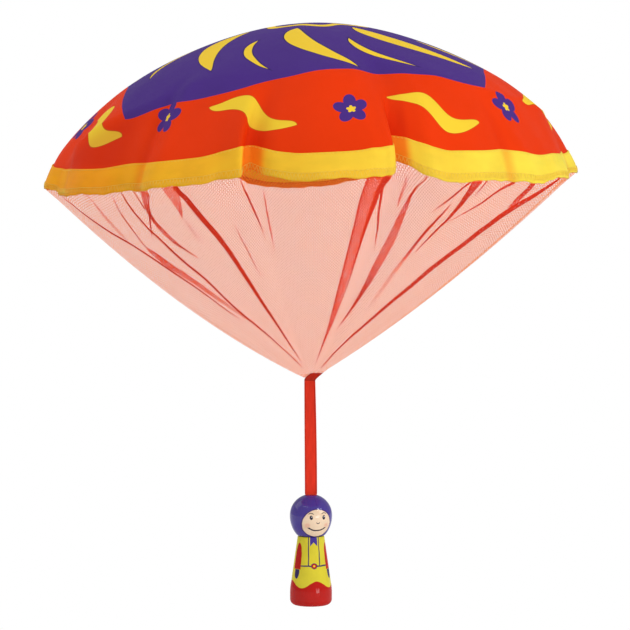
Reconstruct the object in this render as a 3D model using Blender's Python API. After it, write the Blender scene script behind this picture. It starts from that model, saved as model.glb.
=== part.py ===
"""Toy parachute: a printed cloth canopy with a folded hem, a net that gathers to a tip under it,
a ribbon, and a turned wooden figure on the ribbon's end. It is modelled as it hangs when open.
The origin is the middle of the canopy's crown. X runs across the photograph's view and -Y is the front.
"""

import math

import bmesh
import bpy
from mathutils import Matrix, Vector

# Canopy: a round sheet of cloth, measured along the cloth from the crown to the hem's edge
CANOPY_FLAT_RADIUS = 0.308
CLOTH_THICKNESS = 0.001
CROWN_TURN_DEG = 53.5
CROWN_TURN_POWER = 0.85
HEM_TURN_DEG = 24.0
HEM_TURN_POWER = 8.4
CANOPY_TILT_DEG = 1.6

# Folds that run up from the hem, counted anticlockwise from +X as seen from above
FOLD_COUNT = 12
FIRST_FOLD_DEG = 18.0
FOLD_DEPTH = 0.020
HEM_LIFT = 0.018
FOLD_START_SHARE = 0.5
FOLD_FADE_POWER = 1.5
FOLD_NARROWNESS = 3
FOLD_SHARES = (0.7, 0.45, 0.8, 0.6, 0.9, 0.45, 0.5, 0.4, 0.95, 1.0, 0.4, 0.5)

# Hem: a tape folded round the edges of the cloth and the net
BAND_WIDTH = 0.026
BAND_THICKNESS = 0.001
CLOTH_TUCK = 0.010
NET_TUCK = 0.008
SEAM_GAP = 0.0003

# Net: it runs from the hem's edge to the gathered tip, a little full between them
NET_DROP = 0.1775
NET_SAG = 0.013
NET_THICKNESS = 0.0008
PLEAT_COUNT = 24
PLEAT_DEPTH = 0.004

# Gathered tip of the net, which the ribbon is sewn to
GATHER_RADIUS = 0.0155
GATHER_HEIGHT = 0.0068
GATHER_NECK_RADIUS = 0.0035
GATHER_GAP = 0.0003

# Ribbon
RIBBON_WIDTH = 0.011
RIBBON_THICKNESS = 0.001
RIBBON_LENGTH = 0.1065
RIBBON_END_HEIGHT = 0.0066
RIBBON_END_SHIFT = 0.006
RIBBON_END_LEAN = 0.0045
RIBBON_FOLD_SHARES = (0.18, 0.38)
BEND_GAP = 0.0009
TWIST_GAP = 0.0003
UPPER_RIBBON_SHARE = 0.48

# Head: a ball, flat where it meets the body, with a slot for the ribbon and a socket from below
HEAD_RADIUS = 0.020
NECK_RADIUS = 0.0122
RIBBON_CLEARANCE = 0.0003
HEAD_DROP = 0.0009

# Body: a turned and flared peg with a tenon on top
BODY_HEIGHT = 0.0684
BODY_RADIUS = 0.0198
BODY_WIDEST_HEIGHT = 0.0115
BODY_FLARE_HEIGHT = 0.0215
BODY_TAPER = 0.001
BASE_CORNER_RADIUS = 0.0065
TENON_LENGTH = 0.0055
TENON_CHAMFER = 0.0008
GLUE_GAP = 0.0003

# Stop pin: a short dowel inside the head, which the ribbon's tail loops round
PIN_RADIUS = 0.0018
LOOP_INSET = 0.0002
LOOP_RADIUS = PIN_RADIUS + RIBBON_CLEARANCE + RIBBON_THICKNESS
SOCKET_RADIUS = math.hypot(RIBBON_WIDTH / 2.0, LOOP_RADIUS) + RIBBON_CLEARANCE
SOCKET_DEPTH = TENON_LENGTH + (LOOP_RADIUS + RIBBON_CLEARANCE) * 2.0

# Counts for round and soft shapes
CLOTH_SEGMENTS = 72
CLOTH_RINGS = 8
BAND_ROWS = 3
NET_RINGS = 8
TURNED_STEPS = 48
ARC_POINTS = 9
PROFILE_STEPS = 240
RING_CROWDING = 1.35
SHARP_EDGE_DEG = 35.0
PIN_SIDES = 20
CUT_OVERRUN = 0.002
MERGE_DISTANCE = 0.000001

# Finishes: linear base colour, roughness and metallic value
FINISHES = {
    "printed_cloth": ((0.80, 0.055, 0.010), 0.62, 0.0),
    "hem_tape": ((0.95, 0.62, 0.055), 0.60, 0.0),
    "net_mesh": ((0.78, 0.16, 0.10), 0.75, 0.0),
    "net_bunch": ((0.70, 0.09, 0.06), 0.75, 0.0),
    "ribbon_red": ((0.74, 0.045, 0.020), 0.50, 0.0),
    "head_paint": ((0.12, 0.055, 0.38), 0.22, 0.0),
    "body_paint": ((0.83, 0.72, 0.035), 0.28, 0.0),
    "pin_wood": ((0.66, 0.46, 0.26), 0.60, 0.0),
}


def clear_scene():
    for item in list(bpy.data.objects):
        bpy.data.objects.remove(item, do_unlink=True)


def material(piece_name, finish):
    colour, roughness, metallic = FINISHES[finish]
    made = bpy.data.materials.new(f"{piece_name}_{finish}")
    made.use_nodes = True
    shader = made.node_tree.nodes["Principled BSDF"]
    shader.inputs["Base Color"].default_value = (*colour, 1.0)
    shader.inputs["Roughness"].default_value = roughness
    shader.inputs["Metallic"].default_value = metallic
    return made


def new_object(name, shape, finish):
    """Turn a bmesh into a smooth-shaded object in the scene."""
    bmesh.ops.recalc_face_normals(shape, faces=shape.faces)
    mesh = bpy.data.meshes.new(name)
    shape.to_mesh(mesh)
    shape.free()
    mesh.shade_smooth()
    mesh.set_sharp_from_angle(angle=math.radians(SHARP_EDGE_DEG))
    made = bpy.data.objects.new(name, mesh)
    bpy.context.scene.collection.objects.link(made)
    if finish:
        made.data.materials.append(material(name, finish))
    return made


# Canopy surface


def canopy_profile():
    """Radius and drop below the crown at even steps along the cloth, from its slope at each step."""
    step = CANOPY_FLAT_RADIUS / PROFILE_STEPS
    radius, drop = 0.0, 0.0
    places = [(radius, drop)]
    for index in range(PROFILE_STEPS):
        share = (index + 0.5) / PROFILE_STEPS
        slope_deg = CROWN_TURN_DEG * share**CROWN_TURN_POWER + HEM_TURN_DEG * share**HEM_TURN_POWER
        slope = math.radians(slope_deg)
        radius += step * math.cos(slope)
        drop += step * math.sin(slope)
        places.append((radius, drop))
    return places


PROFILE = canopy_profile()


def profile_at(share):
    place = min(max(share, 0.0), 1.0) * PROFILE_STEPS
    index = min(int(place), PROFILE_STEPS - 1)
    part = place - index
    low, high = PROFILE[index], PROFILE[index + 1]
    return low[0] + (high[0] - low[0]) * part, low[1] + (high[1] - low[1]) * part


def fold_share(angle):
    """How far a fold is drawn in at this angle round the canopy: 0 on a lobe, up to 1 in a fold."""
    spacing = 2.0 * math.pi / FOLD_COUNT
    turn = (angle - math.radians(FIRST_FOLD_DEG)) / spacing
    nearest = round(turn)
    away = turn - nearest
    return FOLD_SHARES[nearest % FOLD_COUNT] * math.cos(math.pi * away) ** FOLD_NARROWNESS


def canopy_point(share, angle):
    """A point on the middle of the cloth, at a share of the way from crown to hem edge."""
    radius, drop = profile_at(share)
    fade = max(0.0, (share - FOLD_START_SHARE) / (1.0 - FOLD_START_SHARE)) ** FOLD_FADE_POWER
    drawn_in = fold_share(angle)
    radius -= FOLD_DEPTH * drawn_in * fade
    x = radius * math.cos(angle)
    y = radius * math.sin(angle)
    lift = HEM_LIFT * drawn_in**2 * fade + x * math.tan(math.radians(CANOPY_TILT_DEG))
    return Vector((x, y, lift - drop))


def canopy_normal(share, angle):
    along = canopy_point(share, angle) - canopy_point(share - 1.0 / PROFILE_STEPS, angle)
    turn = math.pi / PROFILE_STEPS
    across = canopy_point(share, angle + turn) - canopy_point(share, angle - turn)
    return along.cross(across).normalized()


def sheet(name, rows, thickness, finish, pole=None):
    """A closed sheet round the Z axis from rows of points, thickened evenly to both sides."""
    shape = bmesh.new()
    rings = [[shape.verts.new(point) for point in row] for row in rows]
    count = len(rings[0])
    for upper, lower in zip(rings, rings[1:]):
        for index in range(count):
            after = (index + 1) % count
            shape.faces.new((upper[index], lower[index], lower[after], upper[after]))
    if pole is not None:
        top = shape.verts.new(pole)
        for index in range(count):
            shape.faces.new((top, rings[0][index], rings[0][(index + 1) % count]))
    made = new_object(name, shape, finish)
    wall = made.modifiers.new("cloth_thickness", "SOLIDIFY")
    wall.thickness = thickness
    wall.offset = 0.0
    return made


def angles():
    return [2.0 * math.pi * index / CLOTH_SEGMENTS for index in range(CLOTH_SEGMENTS)]


def canopy_cloth():
    """The printed cloth, from the crown to its raw edge, which is tucked behind the hem tape."""
    edge_share = 1.0 - (BAND_WIDTH - CLOTH_TUCK) / CANOPY_FLAT_RADIUS
    rows = []
    for ring in range(1, CLOTH_RINGS + 1):
        share = edge_share * (1.0 - (1.0 - ring / CLOTH_RINGS) ** RING_CROWDING)
        rows.append([canopy_point(share, angle) for angle in angles()])
    return sheet("canopy_cloth", rows, CLOTH_THICKNESS, "printed_cloth", canopy_point(0.0, 0.0))


def hem_band():
    """The hem tape, just outside the cloth, from its upper edge to the hem's lower edge."""
    outward = (CLOTH_THICKNESS + BAND_THICKNESS) / 2.0 + SEAM_GAP
    top_share = 1.0 - BAND_WIDTH / CANOPY_FLAT_RADIUS
    rows = []
    for row in range(BAND_ROWS + 1):
        share = top_share + (1.0 - top_share) * row / BAND_ROWS
        points = []
        for angle in angles():
            points.append(canopy_point(share, angle) + canopy_normal(share, angle) * outward)
        rows.append(points)
    return sheet("hem_band", rows, BAND_THICKNESS, "hem_tape")


# Levels below the hem, all on the Z axis

HEM_LEVEL = -profile_at(1.0)[1]
NET_TIP_LEVEL = HEM_LEVEL - NET_DROP
GATHER_TOP_LEVEL = NET_TIP_LEVEL + GATHER_HEIGHT
SIDE_SWING_LEVEL = GATHER_TOP_LEVEL
NET_EDGE_RADIUS = GATHER_RADIUS + GATHER_GAP + NET_THICKNESS
RIBBON_END_TOP = NET_TIP_LEVEL - GATHER_GAP - RIBBON_THICKNESS / 2.0
FRONT_SWING_LEVEL = RIBBON_END_TOP - RIBBON_END_HEIGHT - BEND_GAP / 2.0
NOD_LEVEL = FRONT_SWING_LEVEL - RIBBON_LENGTH
TWIST_LEVEL = FRONT_SWING_LEVEL - RIBBON_LENGTH * UPPER_RIBBON_SHARE
HEAD_LEVEL = NOD_LEVEL - HEAD_DROP - HEAD_RADIUS
NECK_LEVEL = HEAD_LEVEL - math.sqrt(HEAD_RADIUS**2 - NECK_RADIUS**2)
BODY_TOP_LEVEL = NECK_LEVEL - GLUE_GAP
BASE_LEVEL = BODY_TOP_LEVEL - BODY_HEIGHT
SOCKET_TOP_LEVEL = NECK_LEVEL + SOCKET_DEPTH
PIN_LEVEL = SOCKET_TOP_LEVEL - RIBBON_CLEARANCE - LOOP_RADIUS


def net_point(share, angle):
    """A point on the net, at a share of the way from the hem's edge to the gathered tip."""
    hem = canopy_point(1.0, angle)
    tip = Vector((NET_EDGE_RADIUS * math.cos(angle), NET_EDGE_RADIUS * math.sin(angle), GATHER_TOP_LEVEL))
    fullness = 4.0 * share * (1.0 - share)
    point = hem.lerp(tip, share)
    point.z -= NET_SAG * fullness
    outward = Vector((math.cos(angle), math.sin(angle), -1.0)).normalized()
    pleat = math.cos(PLEAT_COUNT * (angle - math.radians(FIRST_FOLD_DEG)))
    return point - outward * (PLEAT_DEPTH / 2.0 * fullness * (1.0 + pleat))


def net_cone():
    """The net, from its edge inside the hem tape down to the gathered tip."""
    tuck_share = 1.0 - NET_TUCK / CANOPY_FLAT_RADIUS
    rows = [[canopy_point(tuck_share, angle) for angle in angles()]]
    for ring in range(NET_RINGS):
        rows.append([net_point(ring / (NET_RINGS - 1), angle) for angle in angles()])
    return sheet("net_cone", rows, NET_THICKNESS, "net_mesh")


# Turned shapes


def arc(centre_radius, centre_level, radius, start_deg, end_deg):
    """Points of a round stretch of a turned outline, from start to end, anticlockwise from +radius."""
    points = []
    for index in range(ARC_POINTS):
        turn = math.radians(start_deg + (end_deg - start_deg) * index / (ARC_POINTS - 1))
        across = centre_radius + radius * math.cos(turn)
        points.append((max(across, 0.0), centre_level + radius * math.sin(turn)))
    return points


def turned(name, outline, finish):
    """A solid turned about the Z axis from an outline that starts and ends on the axis."""
    shape = bmesh.new()
    verts = [shape.verts.new((radius, 0.0, level)) for radius, level in outline]
    edges = [shape.edges.new(pair) for pair in zip(verts, verts[1:])]
    bmesh.ops.spin(
        shape,
        geom=verts + edges,
        axis=(0.0, 0.0, 1.0),
        cent=(0.0, 0.0, 0.0),
        steps=TURNED_STEPS,
        angle=2.0 * math.pi,
        use_duplicate=False,
    )
    bmesh.ops.remove_doubles(shape, verts=shape.verts, dist=MERGE_DISTANCE)
    return new_object(name, shape, finish)


def box(name, size, centre, finish=None):
    shape = bmesh.new()
    bmesh.ops.create_cube(shape, size=1.0)
    bmesh.ops.scale(shape, vec=size, verts=shape.verts)
    bmesh.ops.translate(shape, vec=centre, verts=shape.verts)
    return new_object(name, shape, finish)


def cylinder_along_x(name, radius, length, centre, finish=None):
    shape = bmesh.new()
    bmesh.ops.create_cone(
        shape,
        cap_ends=True,
        segments=PIN_SIDES,
        radius1=radius,
        radius2=radius,
        depth=length,
        matrix=Matrix.Translation(centre) @ Matrix.Rotation(math.pi / 2.0, 4, "Y"),
    )
    return new_object(name, shape, finish)


def as_cutter(cutter):
    cutter.hide_render = True
    cutter.display_type = "WIRE"
    return cutter


def combine(piece, other, operation):
    step = piece.modifiers.new(other.name, "BOOLEAN")
    step.operation = operation
    step.object = as_cutter(other)
    step.solver = "EXACT"


def net_gather():
    """The bunched middle of the net, pinched to a narrow neck that the ribbon is sewn to."""
    outline = [
        (0.0, GATHER_TOP_LEVEL),
        (GATHER_RADIUS, GATHER_TOP_LEVEL),
        (GATHER_NECK_RADIUS, NET_TIP_LEVEL),
        (0.0, NET_TIP_LEVEL),
    ]
    return turned("net_gather", outline, "net_bunch")


def ribbon_end():
    """The ribbon's sewn end: folded aside and forward, so it covers the front of the net's tip."""
    half = RIBBON_WIDTH / 2.0
    low = FRONT_SWING_LEVEL + BEND_GAP / 2.0
    fold_low = low + RIBBON_END_HEIGHT * RIBBON_FOLD_SHARES[0]
    fold_high = low + RIBBON_END_HEIGHT * RIBBON_FOLD_SHARES[1]
    outline = [
        (-half, low),
        (half, low),
        (half, fold_low),
        (half + RIBBON_END_SHIFT, RIBBON_END_TOP),
        (-half + RIBBON_END_SHIFT, RIBBON_END_TOP),
        (-half, fold_high),
    ]
    shape = bmesh.new()
    verts = []
    for x, level in outline:
        forward = RIBBON_END_LEAN * max(0.0, level - fold_low) / (RIBBON_END_TOP - fold_low)
        verts.append(shape.verts.new((x, -forward, level)))
    front = [shape.faces.new(verts)]
    bmesh.ops.triangulate(shape, faces=front)
    made = new_object("ribbon_end", shape, "ribbon_red")
    wall = made.modifiers.new("ribbon_thickness", "SOLIDIFY")
    wall.thickness = RIBBON_THICKNESS
    wall.offset = 0.0
    return made


def ribbon_strip(name, high, low):
    size = (RIBBON_WIDTH, RIBBON_THICKNESS, high - low)
    return box(name, size, (0.0, 0.0, (high + low) / 2.0), "ribbon_red")


def ribbon_tail():
    """The ribbon's last stretch, down through the head's slot to a loop round the stop pin."""
    high = NOD_LEVEL - BEND_GAP / 2.0
    tail = ribbon_strip("ribbon_tail", high, PIN_LEVEL)
    centre = (0.0, 0.0, PIN_LEVEL)
    loop_width = RIBBON_WIDTH - LOOP_INSET * 2.0
    loop = cylinder_along_x("ribbon_loop", LOOP_RADIUS, loop_width, centre)
    hole = cylinder_along_x("loop_hole", LOOP_RADIUS - RIBBON_THICKNESS, RIBBON_WIDTH + CUT_OVERRUN, centre)
    combine(tail, loop, "UNION")
    combine(tail, hole, "DIFFERENCE")
    return tail


def head():
    neck_deg = math.degrees(math.atan2(NECK_LEVEL - HEAD_LEVEL, NECK_RADIUS))
    outline = [
        (0.0, SOCKET_TOP_LEVEL),
        (SOCKET_RADIUS, SOCKET_TOP_LEVEL),
        (SOCKET_RADIUS, NECK_LEVEL),
    ]
    outline += arc(0.0, HEAD_LEVEL, HEAD_RADIUS, neck_deg, 0.0)
    outline += arc(0.0, HEAD_LEVEL, HEAD_RADIUS, 0.0, 90.0)[1:]
    ball = turned("head", outline, "head_paint")
    high = HEAD_LEVEL + HEAD_RADIUS + CUT_OVERRUN
    low = SOCKET_TOP_LEVEL - CUT_OVERRUN
    size = (
        RIBBON_WIDTH + RIBBON_CLEARANCE * 2.0,
        RIBBON_THICKNESS + RIBBON_CLEARANCE * 2.0,
        high - low,
    )
    combine(ball, box("ribbon_slot", size, (0.0, 0.0, (high + low) / 2.0)), "DIFFERENCE")
    return ball


def figure_body():
    tenon_radius = SOCKET_RADIUS - GLUE_GAP
    tenon_top = BODY_TOP_LEVEL + TENON_LENGTH
    corner_level = BASE_LEVEL + BASE_CORNER_RADIUS
    corner_centre = BODY_RADIUS - BASE_CORNER_RADIUS
    outline = [
        (0.0, tenon_top),
        (tenon_radius - TENON_CHAMFER, tenon_top),
        (tenon_radius, tenon_top - TENON_CHAMFER),
        (tenon_radius, BODY_TOP_LEVEL),
        (NECK_RADIUS, BODY_TOP_LEVEL),
        (BODY_RADIUS - BODY_TAPER, BASE_LEVEL + BODY_FLARE_HEIGHT),
        (BODY_RADIUS, BASE_LEVEL + BODY_WIDEST_HEIGHT),
    ]
    outline += arc(corner_centre, corner_level, BASE_CORNER_RADIUS, 0.0, -90.0)
    outline.append((0.0, BASE_LEVEL))
    return turned("figure_body", outline, "body_paint")


def stop_pin():
    return cylinder_along_x("stop_pin", PIN_RADIUS, RIBBON_WIDTH, (0.0, 0.0, PIN_LEVEL), "pin_wood")


def axis_point(name, level, parent=None):
    """An empty at a joint, with the pieces that it carries hung on it."""
    made = bpy.data.objects.new(name, None)
    made.empty_display_size = GATHER_RADIUS
    bpy.context.scene.collection.objects.link(made)
    made.parent = parent
    made.location.z = level - parent_level(parent)
    return made


def parent_level(parent):
    level = 0.0
    while parent is not None:
        level += parent.location.z
        parent = parent.parent
    return level


def hang(axis, *pieces):
    for piece in pieces:
        piece.data.transform(Matrix.Translation((0.0, 0.0, -parent_level(axis))))
        piece.parent = axis


def main():
    clear_scene()
    canopy_cloth()
    hem_band()
    net_cone()

    side_swing = axis_point("side_swing_axis", SIDE_SWING_LEVEL)
    hang(side_swing, net_gather(), ribbon_end())

    front_swing = axis_point("front_swing_axis", FRONT_SWING_LEVEL, side_swing)
    upper_high = FRONT_SWING_LEVEL - BEND_GAP / 2.0
    upper_low = TWIST_LEVEL + TWIST_GAP / 2.0
    hang(front_swing, ribbon_strip("ribbon_upper", upper_high, upper_low))

    twist = axis_point("twist_axis", TWIST_LEVEL, front_swing)
    lower_high = TWIST_LEVEL - TWIST_GAP / 2.0
    lower_low = NOD_LEVEL + BEND_GAP / 2.0
    hang(twist, ribbon_strip("ribbon_lower", lower_high, lower_low))

    nod = axis_point("nod_axis", NOD_LEVEL, twist)
    hang(nod, head(), figure_body(), ribbon_tail(), stop_pin())


main()
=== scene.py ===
"""Toy parachute, dressed: printed cloth canopy, folded hem tape with its stitching, gathered net,
twisted ribbon and painted peg figure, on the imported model's frame.
"""

import math

import bmesh
import bpy
from bpy.props import FloatProperty, FloatVectorProperty, IntProperty, PointerProperty
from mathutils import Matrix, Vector


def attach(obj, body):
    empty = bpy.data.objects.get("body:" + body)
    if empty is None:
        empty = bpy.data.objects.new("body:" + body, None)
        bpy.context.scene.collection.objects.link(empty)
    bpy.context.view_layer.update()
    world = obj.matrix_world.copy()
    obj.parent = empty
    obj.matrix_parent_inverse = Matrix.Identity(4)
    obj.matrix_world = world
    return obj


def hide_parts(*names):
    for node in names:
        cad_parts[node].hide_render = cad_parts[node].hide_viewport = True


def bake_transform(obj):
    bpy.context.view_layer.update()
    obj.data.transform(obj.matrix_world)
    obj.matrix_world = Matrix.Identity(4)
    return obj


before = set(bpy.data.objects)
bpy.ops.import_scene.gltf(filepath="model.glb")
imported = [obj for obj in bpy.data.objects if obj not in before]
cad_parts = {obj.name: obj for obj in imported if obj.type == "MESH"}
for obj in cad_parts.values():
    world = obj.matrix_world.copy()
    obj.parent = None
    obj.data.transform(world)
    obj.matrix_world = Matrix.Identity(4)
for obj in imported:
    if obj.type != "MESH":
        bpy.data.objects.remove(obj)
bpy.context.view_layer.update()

bl_info = {
    "name": "Toy parachute",
    "version": (1, 0, 0),
    "blender": (4, 5, 0),
    "location": "3D View > Sidebar > Parachute",
    "description": "Models a hanging toy parachute with a peg figure, piece by piece",
    "category": "Add Mesh",
}

TURN = 2.0 * math.pi
SKY = Vector((0.0, 0.0, 1.0))


# Sizes and colours that a user would change


def length(name, description, default, low=0.0):
    return FloatProperty(
        name=name, description=description, default=default, min=low, unit="LENGTH", subtype="DISTANCE"
    )


def level(name, description, default):
    return FloatProperty(name=name, description=description, default=default, unit="LENGTH", subtype="DISTANCE")


def rotation(name, description, degrees):
    return FloatProperty(
        name=name, description=description, default=math.radians(degrees), unit="ROTATION", subtype="ANGLE"
    )


def lamp_power(name, description, default):
    return FloatProperty(name=name, description=description, default=default, unit="POWER")


def colour(name, description, default):
    return FloatVectorProperty(
        name=name, description=description, default=default, min=0.0, max=1.0, size=3, subtype="COLOR"
    )


class CanopySizes(bpy.types.PropertyGroup):
    """The round cloth, its folds and the tape round its edge."""

    flat_radius: length("Flat radius", "Radius of the round sheet, along the cloth", 0.308)
    thickness: length("Cloth thickness", "Thickness that the cloth shows at its edges", 0.0005)
    fold_depth: length("Fold depth", "How far the deepest fold is drawn in at the hem", 0.020)
    crown_flat: length("Crown flat", "How much lower the crown hangs than an even dome", 0.0021)
    hem_lift: length("Hem lift", "How far the deepest fold raises the hem", 0.018)
    band_width: length("Tape width", "Width of the hem tape", 0.026)
    stitch_pitch: length("Overlock pitch", "Distance from one overlock stitch to the next", 0.0031, 0.001)
    columns: IntProperty(name="Columns", description="Columns of faces round the cloth", default=430, min=90)
    rings: IntProperty(name="Rings", description="Rings of faces from crown to hem", default=88, min=12)


class NetSizes(bpy.types.PropertyGroup):
    """The net between the hem and the tip."""

    drop: length("Drop", "Height from the hem to the net's tip", 0.1775)
    sag: length("Sag", "How far the net hangs below a straight line", 0.0115)
    gather_radius: length("Gather radius", "Radius at which the net bunches up", 0.0166)
    gather_height: length("Gather height", "Height of the bunched middle", 0.0068)
    mesh_pitch: length("Mesh pitch", "Distance from one thread of the net to the next", 0.0020, 0.0004)
    columns: IntProperty(name="Columns", description="Columns of faces round the net", default=400, min=90)
    rows: IntProperty(name="Rows", description="Rows of faces from the hem to the tip", default=52, min=8)


class RibbonSizes(bpy.types.PropertyGroup):
    """The woven ribbon between the net's tip and the figure."""

    width: length("Width", "Width of the ribbon", 0.0116)
    thickness: length("Thickness", "Thickness of the ribbon", 0.0008)
    twist: rotation("Twist", "How far the top is turned", 27.0)


class FigureSizes(bpy.types.PropertyGroup):
    """The turned and painted peg figure."""

    head_radius: length("Head radius", "Radius of the head's ball", 0.020)
    neck_radius: length("Neck radius", "Radius of the joint between head and body", 0.0122)
    body_radius: length("Body radius", "Largest radius of the body", 0.0198)
    facing: rotation("Facing", "How far the face is turned aside", 19.0)


class Colours(bpy.types.PropertyGroup):
    """The colours of cloth, thread and paint."""

    red_print: colour("Red print", "Lower part of the canopy", (0.87, 0.043, 0.002))
    violet_print: colour("Violet print", "Middle of the canopy", (0.075, 0.030, 0.240))
    yellow_print: colour("Yellow print", "Motifs of the canopy", (0.98, 0.66, 0.040))
    outline_print: colour("Outline", "Thin lines round the motifs", (0.030, 0.014, 0.11))
    cloth_reverse: colour("Reverse", "Inner side of the canopy", (0.80, 0.12, 0.05))
    # The two tape colours are lit and shaded copies: painted light on the right, painted shade on the left and in
    # folds.
    tape: colour("Tape", "Hem tape where the light is strongest", (1.0, 0.82, 0.075))
    tape_shaded: colour("Deep tape", "Hem tape where it is in its own shade", (1.0, 0.40, 0.001))
    tape_reverse: colour("Tape reverse", "Inner side of the hem", (0.80, 0.13, 0.012))
    thread: colour("Thread", "Stitches of the hem", (1.0, 0.72, 0.13))
    # The doubled and plain net colours are darker, redder copies of the thin net's: painted shade in folds and bunches.
    net_thin: colour(
        "Thin net", "Threads of the net where it is one layer and light shines through", (0.99, 0.235, 0.030)
    )
    net_doubled: colour("Doubled net", "Threads of the net where it is thin in a fold", (0.86, 0.085, 0.022))
    net: colour("Net", "Threads of the net", (0.78, 0.040, 0.016))
    ribbon: colour("Ribbon", "Woven ribbon", (1.0, 0.050, 0.020))
    violet_paint: colour("Violet paint", "Hood and kerchief", (0.072, 0.046, 0.34))
    skin_paint: colour("Skin paint", "Face", (1.0, 0.77, 0.54))
    yellow_paint: colour("Yellow paint", "Suit", (0.80, 0.70, 0.045))
    red_paint: colour("Red paint", "Sleeves and lower edge", (0.55, 0.012, 0.008))
    dark_paint: colour("Dark paint", "Eyes, brows, nose and mouth", (0.018, 0.010, 0.035))
    pin_wood: colour("Pin wood", "Bare dowel", (0.66, 0.46, 0.26))
    floor: colour("Floor", "Floor under the parachute", (0.86, 0.86, 0.86))


class StageSettings(bpy.types.PropertyGroup):
    """Floor, camera and light."""

    floor_level: level("Floor level", "Height of the floor", -0.72)
    camera_distance: length("Camera distance", "From the camera to the parachute's axis", 2.3)
    camera_level: level("Camera level", "Height of the camera", -0.1965)
    lens: FloatProperty(name="Lens", description="Focal length", default=139.8, unit="CAMERA")
    key_power: lamp_power("Key power", "Power of the main lamp", 10.5)
    top_power: lamp_power("Top power", "Power of the lamp above", 10.0)
    front_power: lamp_power("Front power", "Power of the small lamp in front", 2.6)
    side_power: lamp_power("Side power", "Power of the lamp high on the left", 5.5)
    low_power: lamp_power("Low power", "Power of the lamp low in front", 15.0)
    sky_light: FloatProperty(name="Sky light", description="Strength of the even light all round", default=0.5)


GROUPS = {
    "parachute_canopy": CanopySizes,
    "parachute_net": NetSizes,
    "parachute_ribbon": RibbonSizes,
    "parachute_figure": FigureSizes,
    "parachute_colours": Colours,
    "parachute_stage": StageSettings,
}


# The cloth's shape: the same hang as in the model's source, with finer folds on it

PROFILE_STEPS = 240
CROWN_TURN_DEG, CROWN_TURN_POWER = 53.5, 0.85
HEM_TURN_DEG, HEM_TURN_POWER = 24.0, 8.4
TILT = math.tan(math.radians(1.6))
FOLD_COUNT, FIRST_FOLD = 12, math.radians(18.0)
FOLD_START, FOLD_FADE_POWER, FOLD_NARROWNESS = 0.5, 1.5, 3
FOLD_SHARES = (0.7, 0.45, 0.8, 0.6, 0.9, 0.45, 0.5, 0.4, 0.95, 1.0, 0.4, 0.5)

# Corrections of the hem: angle, slide along the hem in degrees, outward, and upward at the hem's edge and at
# the tape's top, in millimetres
HEM_TRIM = (
    (0, 0, 0, 4, 0), (8, 0, 0, 3, 2), (20, 0, 0, 0, 0), (33, 0, 0, 1, 1), (48, 0, 0, 1, 1), (58, 0, -2, 9, 7),
    (62, 0, -8, 17, 14), (66, 0, -13, 28, 22), (68.5, 0, -13, 23, 20), (70.5, 0, -7, 9, 10), (74, 0, 0, 1, 2),
    (78, 0, 4, -5, -3), (84, 0, 2, 0, 0), (92, 0, 0, 1, 1), (100, 0, 0, 1, 1), (106, 0, 0, 1.5, 1.5),
    (109, 0, 0, 6, 5), (113, 0, 0, 9.5, 8), (120, 0, 0, 8.5, 7), (128, 0, 0, 5, 4), (138, 0, 0, 0, 0),
    (152, 0, 0, 3, 2), (165, 0, 0, 2, 1), (180, 0, 0, 1, 0), (186, 0, 0, 3, -2.5), (192, 0, 0, -2, -7.5),
    (198, 0, 0, -10.2, -12.3), (207, 0, 0, -7.2, -10), (217, 0, 0, -7.3, -10.1), (227, 0, 0, -9.1, -8.6),
    (237, 0, 0, -5.4, -6.1), (246, 0, 0, -2.7, -3.9), (251, 0, 3, -3, -2), (254, 1.18, 10.7, -7.6, -3.5),
    (255.4, 0.55, 12.2, -10.5, -5.4), (256.1, -0.55, 6.1, -10.2, -6.3), (256.8, -1.38, 1.8, -9.8, -6.9),
    (258.2, -1.38, -1.3, -7.1, -7), (260, -1, 1.5, -8.9, -7.2), (262.5, -0.82, 2.7, -6.2, -5.7),
    (266, 0, 0, -2.7, -3.6), (272, 0, 0, -2.3, -3.1), (277, 0, 1, -1.2, -2.7), (280.5, 1.07, 5.3, -2.6, -2.4),
    (284, 0.65, 12.5, -10.7, -7.4), (286, 0.25, 16.5, -15.7, -10.4), (286.8, 0.1, 15.8, -14.1, -11.1),
    (287.5, -0.23, 9.7, -10.4, -9.3), (288.3, -1.18, 1.7, -7, -6.1), (289.2, -2.05, -5.7, -4.7, -2.8),
    (290.2, -1.85, -9.8, -2.4, -0.7), (291.6, -1.52, -9.2, 1.3, 1.5), (293.5, -1.62, -8.5, 1.7, 3.6),
    (296, -2.02, -8.3, -1.3, 2.8), (299, -2.3, -6.9, -4.7, -0.5), (303, -2.3, -3.3, -6.7, -3.7),
    (309, -1.1, 0, -6.1, -3.7), (314.5, -0.3, 0, -7.3, -3.9), (319, 0, 0, -9.9, -5.6), (322, 0, 0, -9.8, -6.3),
    (328.5, 0, 0, -6.5, -7.5), (336, 0, 0, -2.7, -5.6), (345, 0, 0, -4.9, -6.5), (353, 0, 0, 0, -5.5),
)  # fmt: skip

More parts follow.
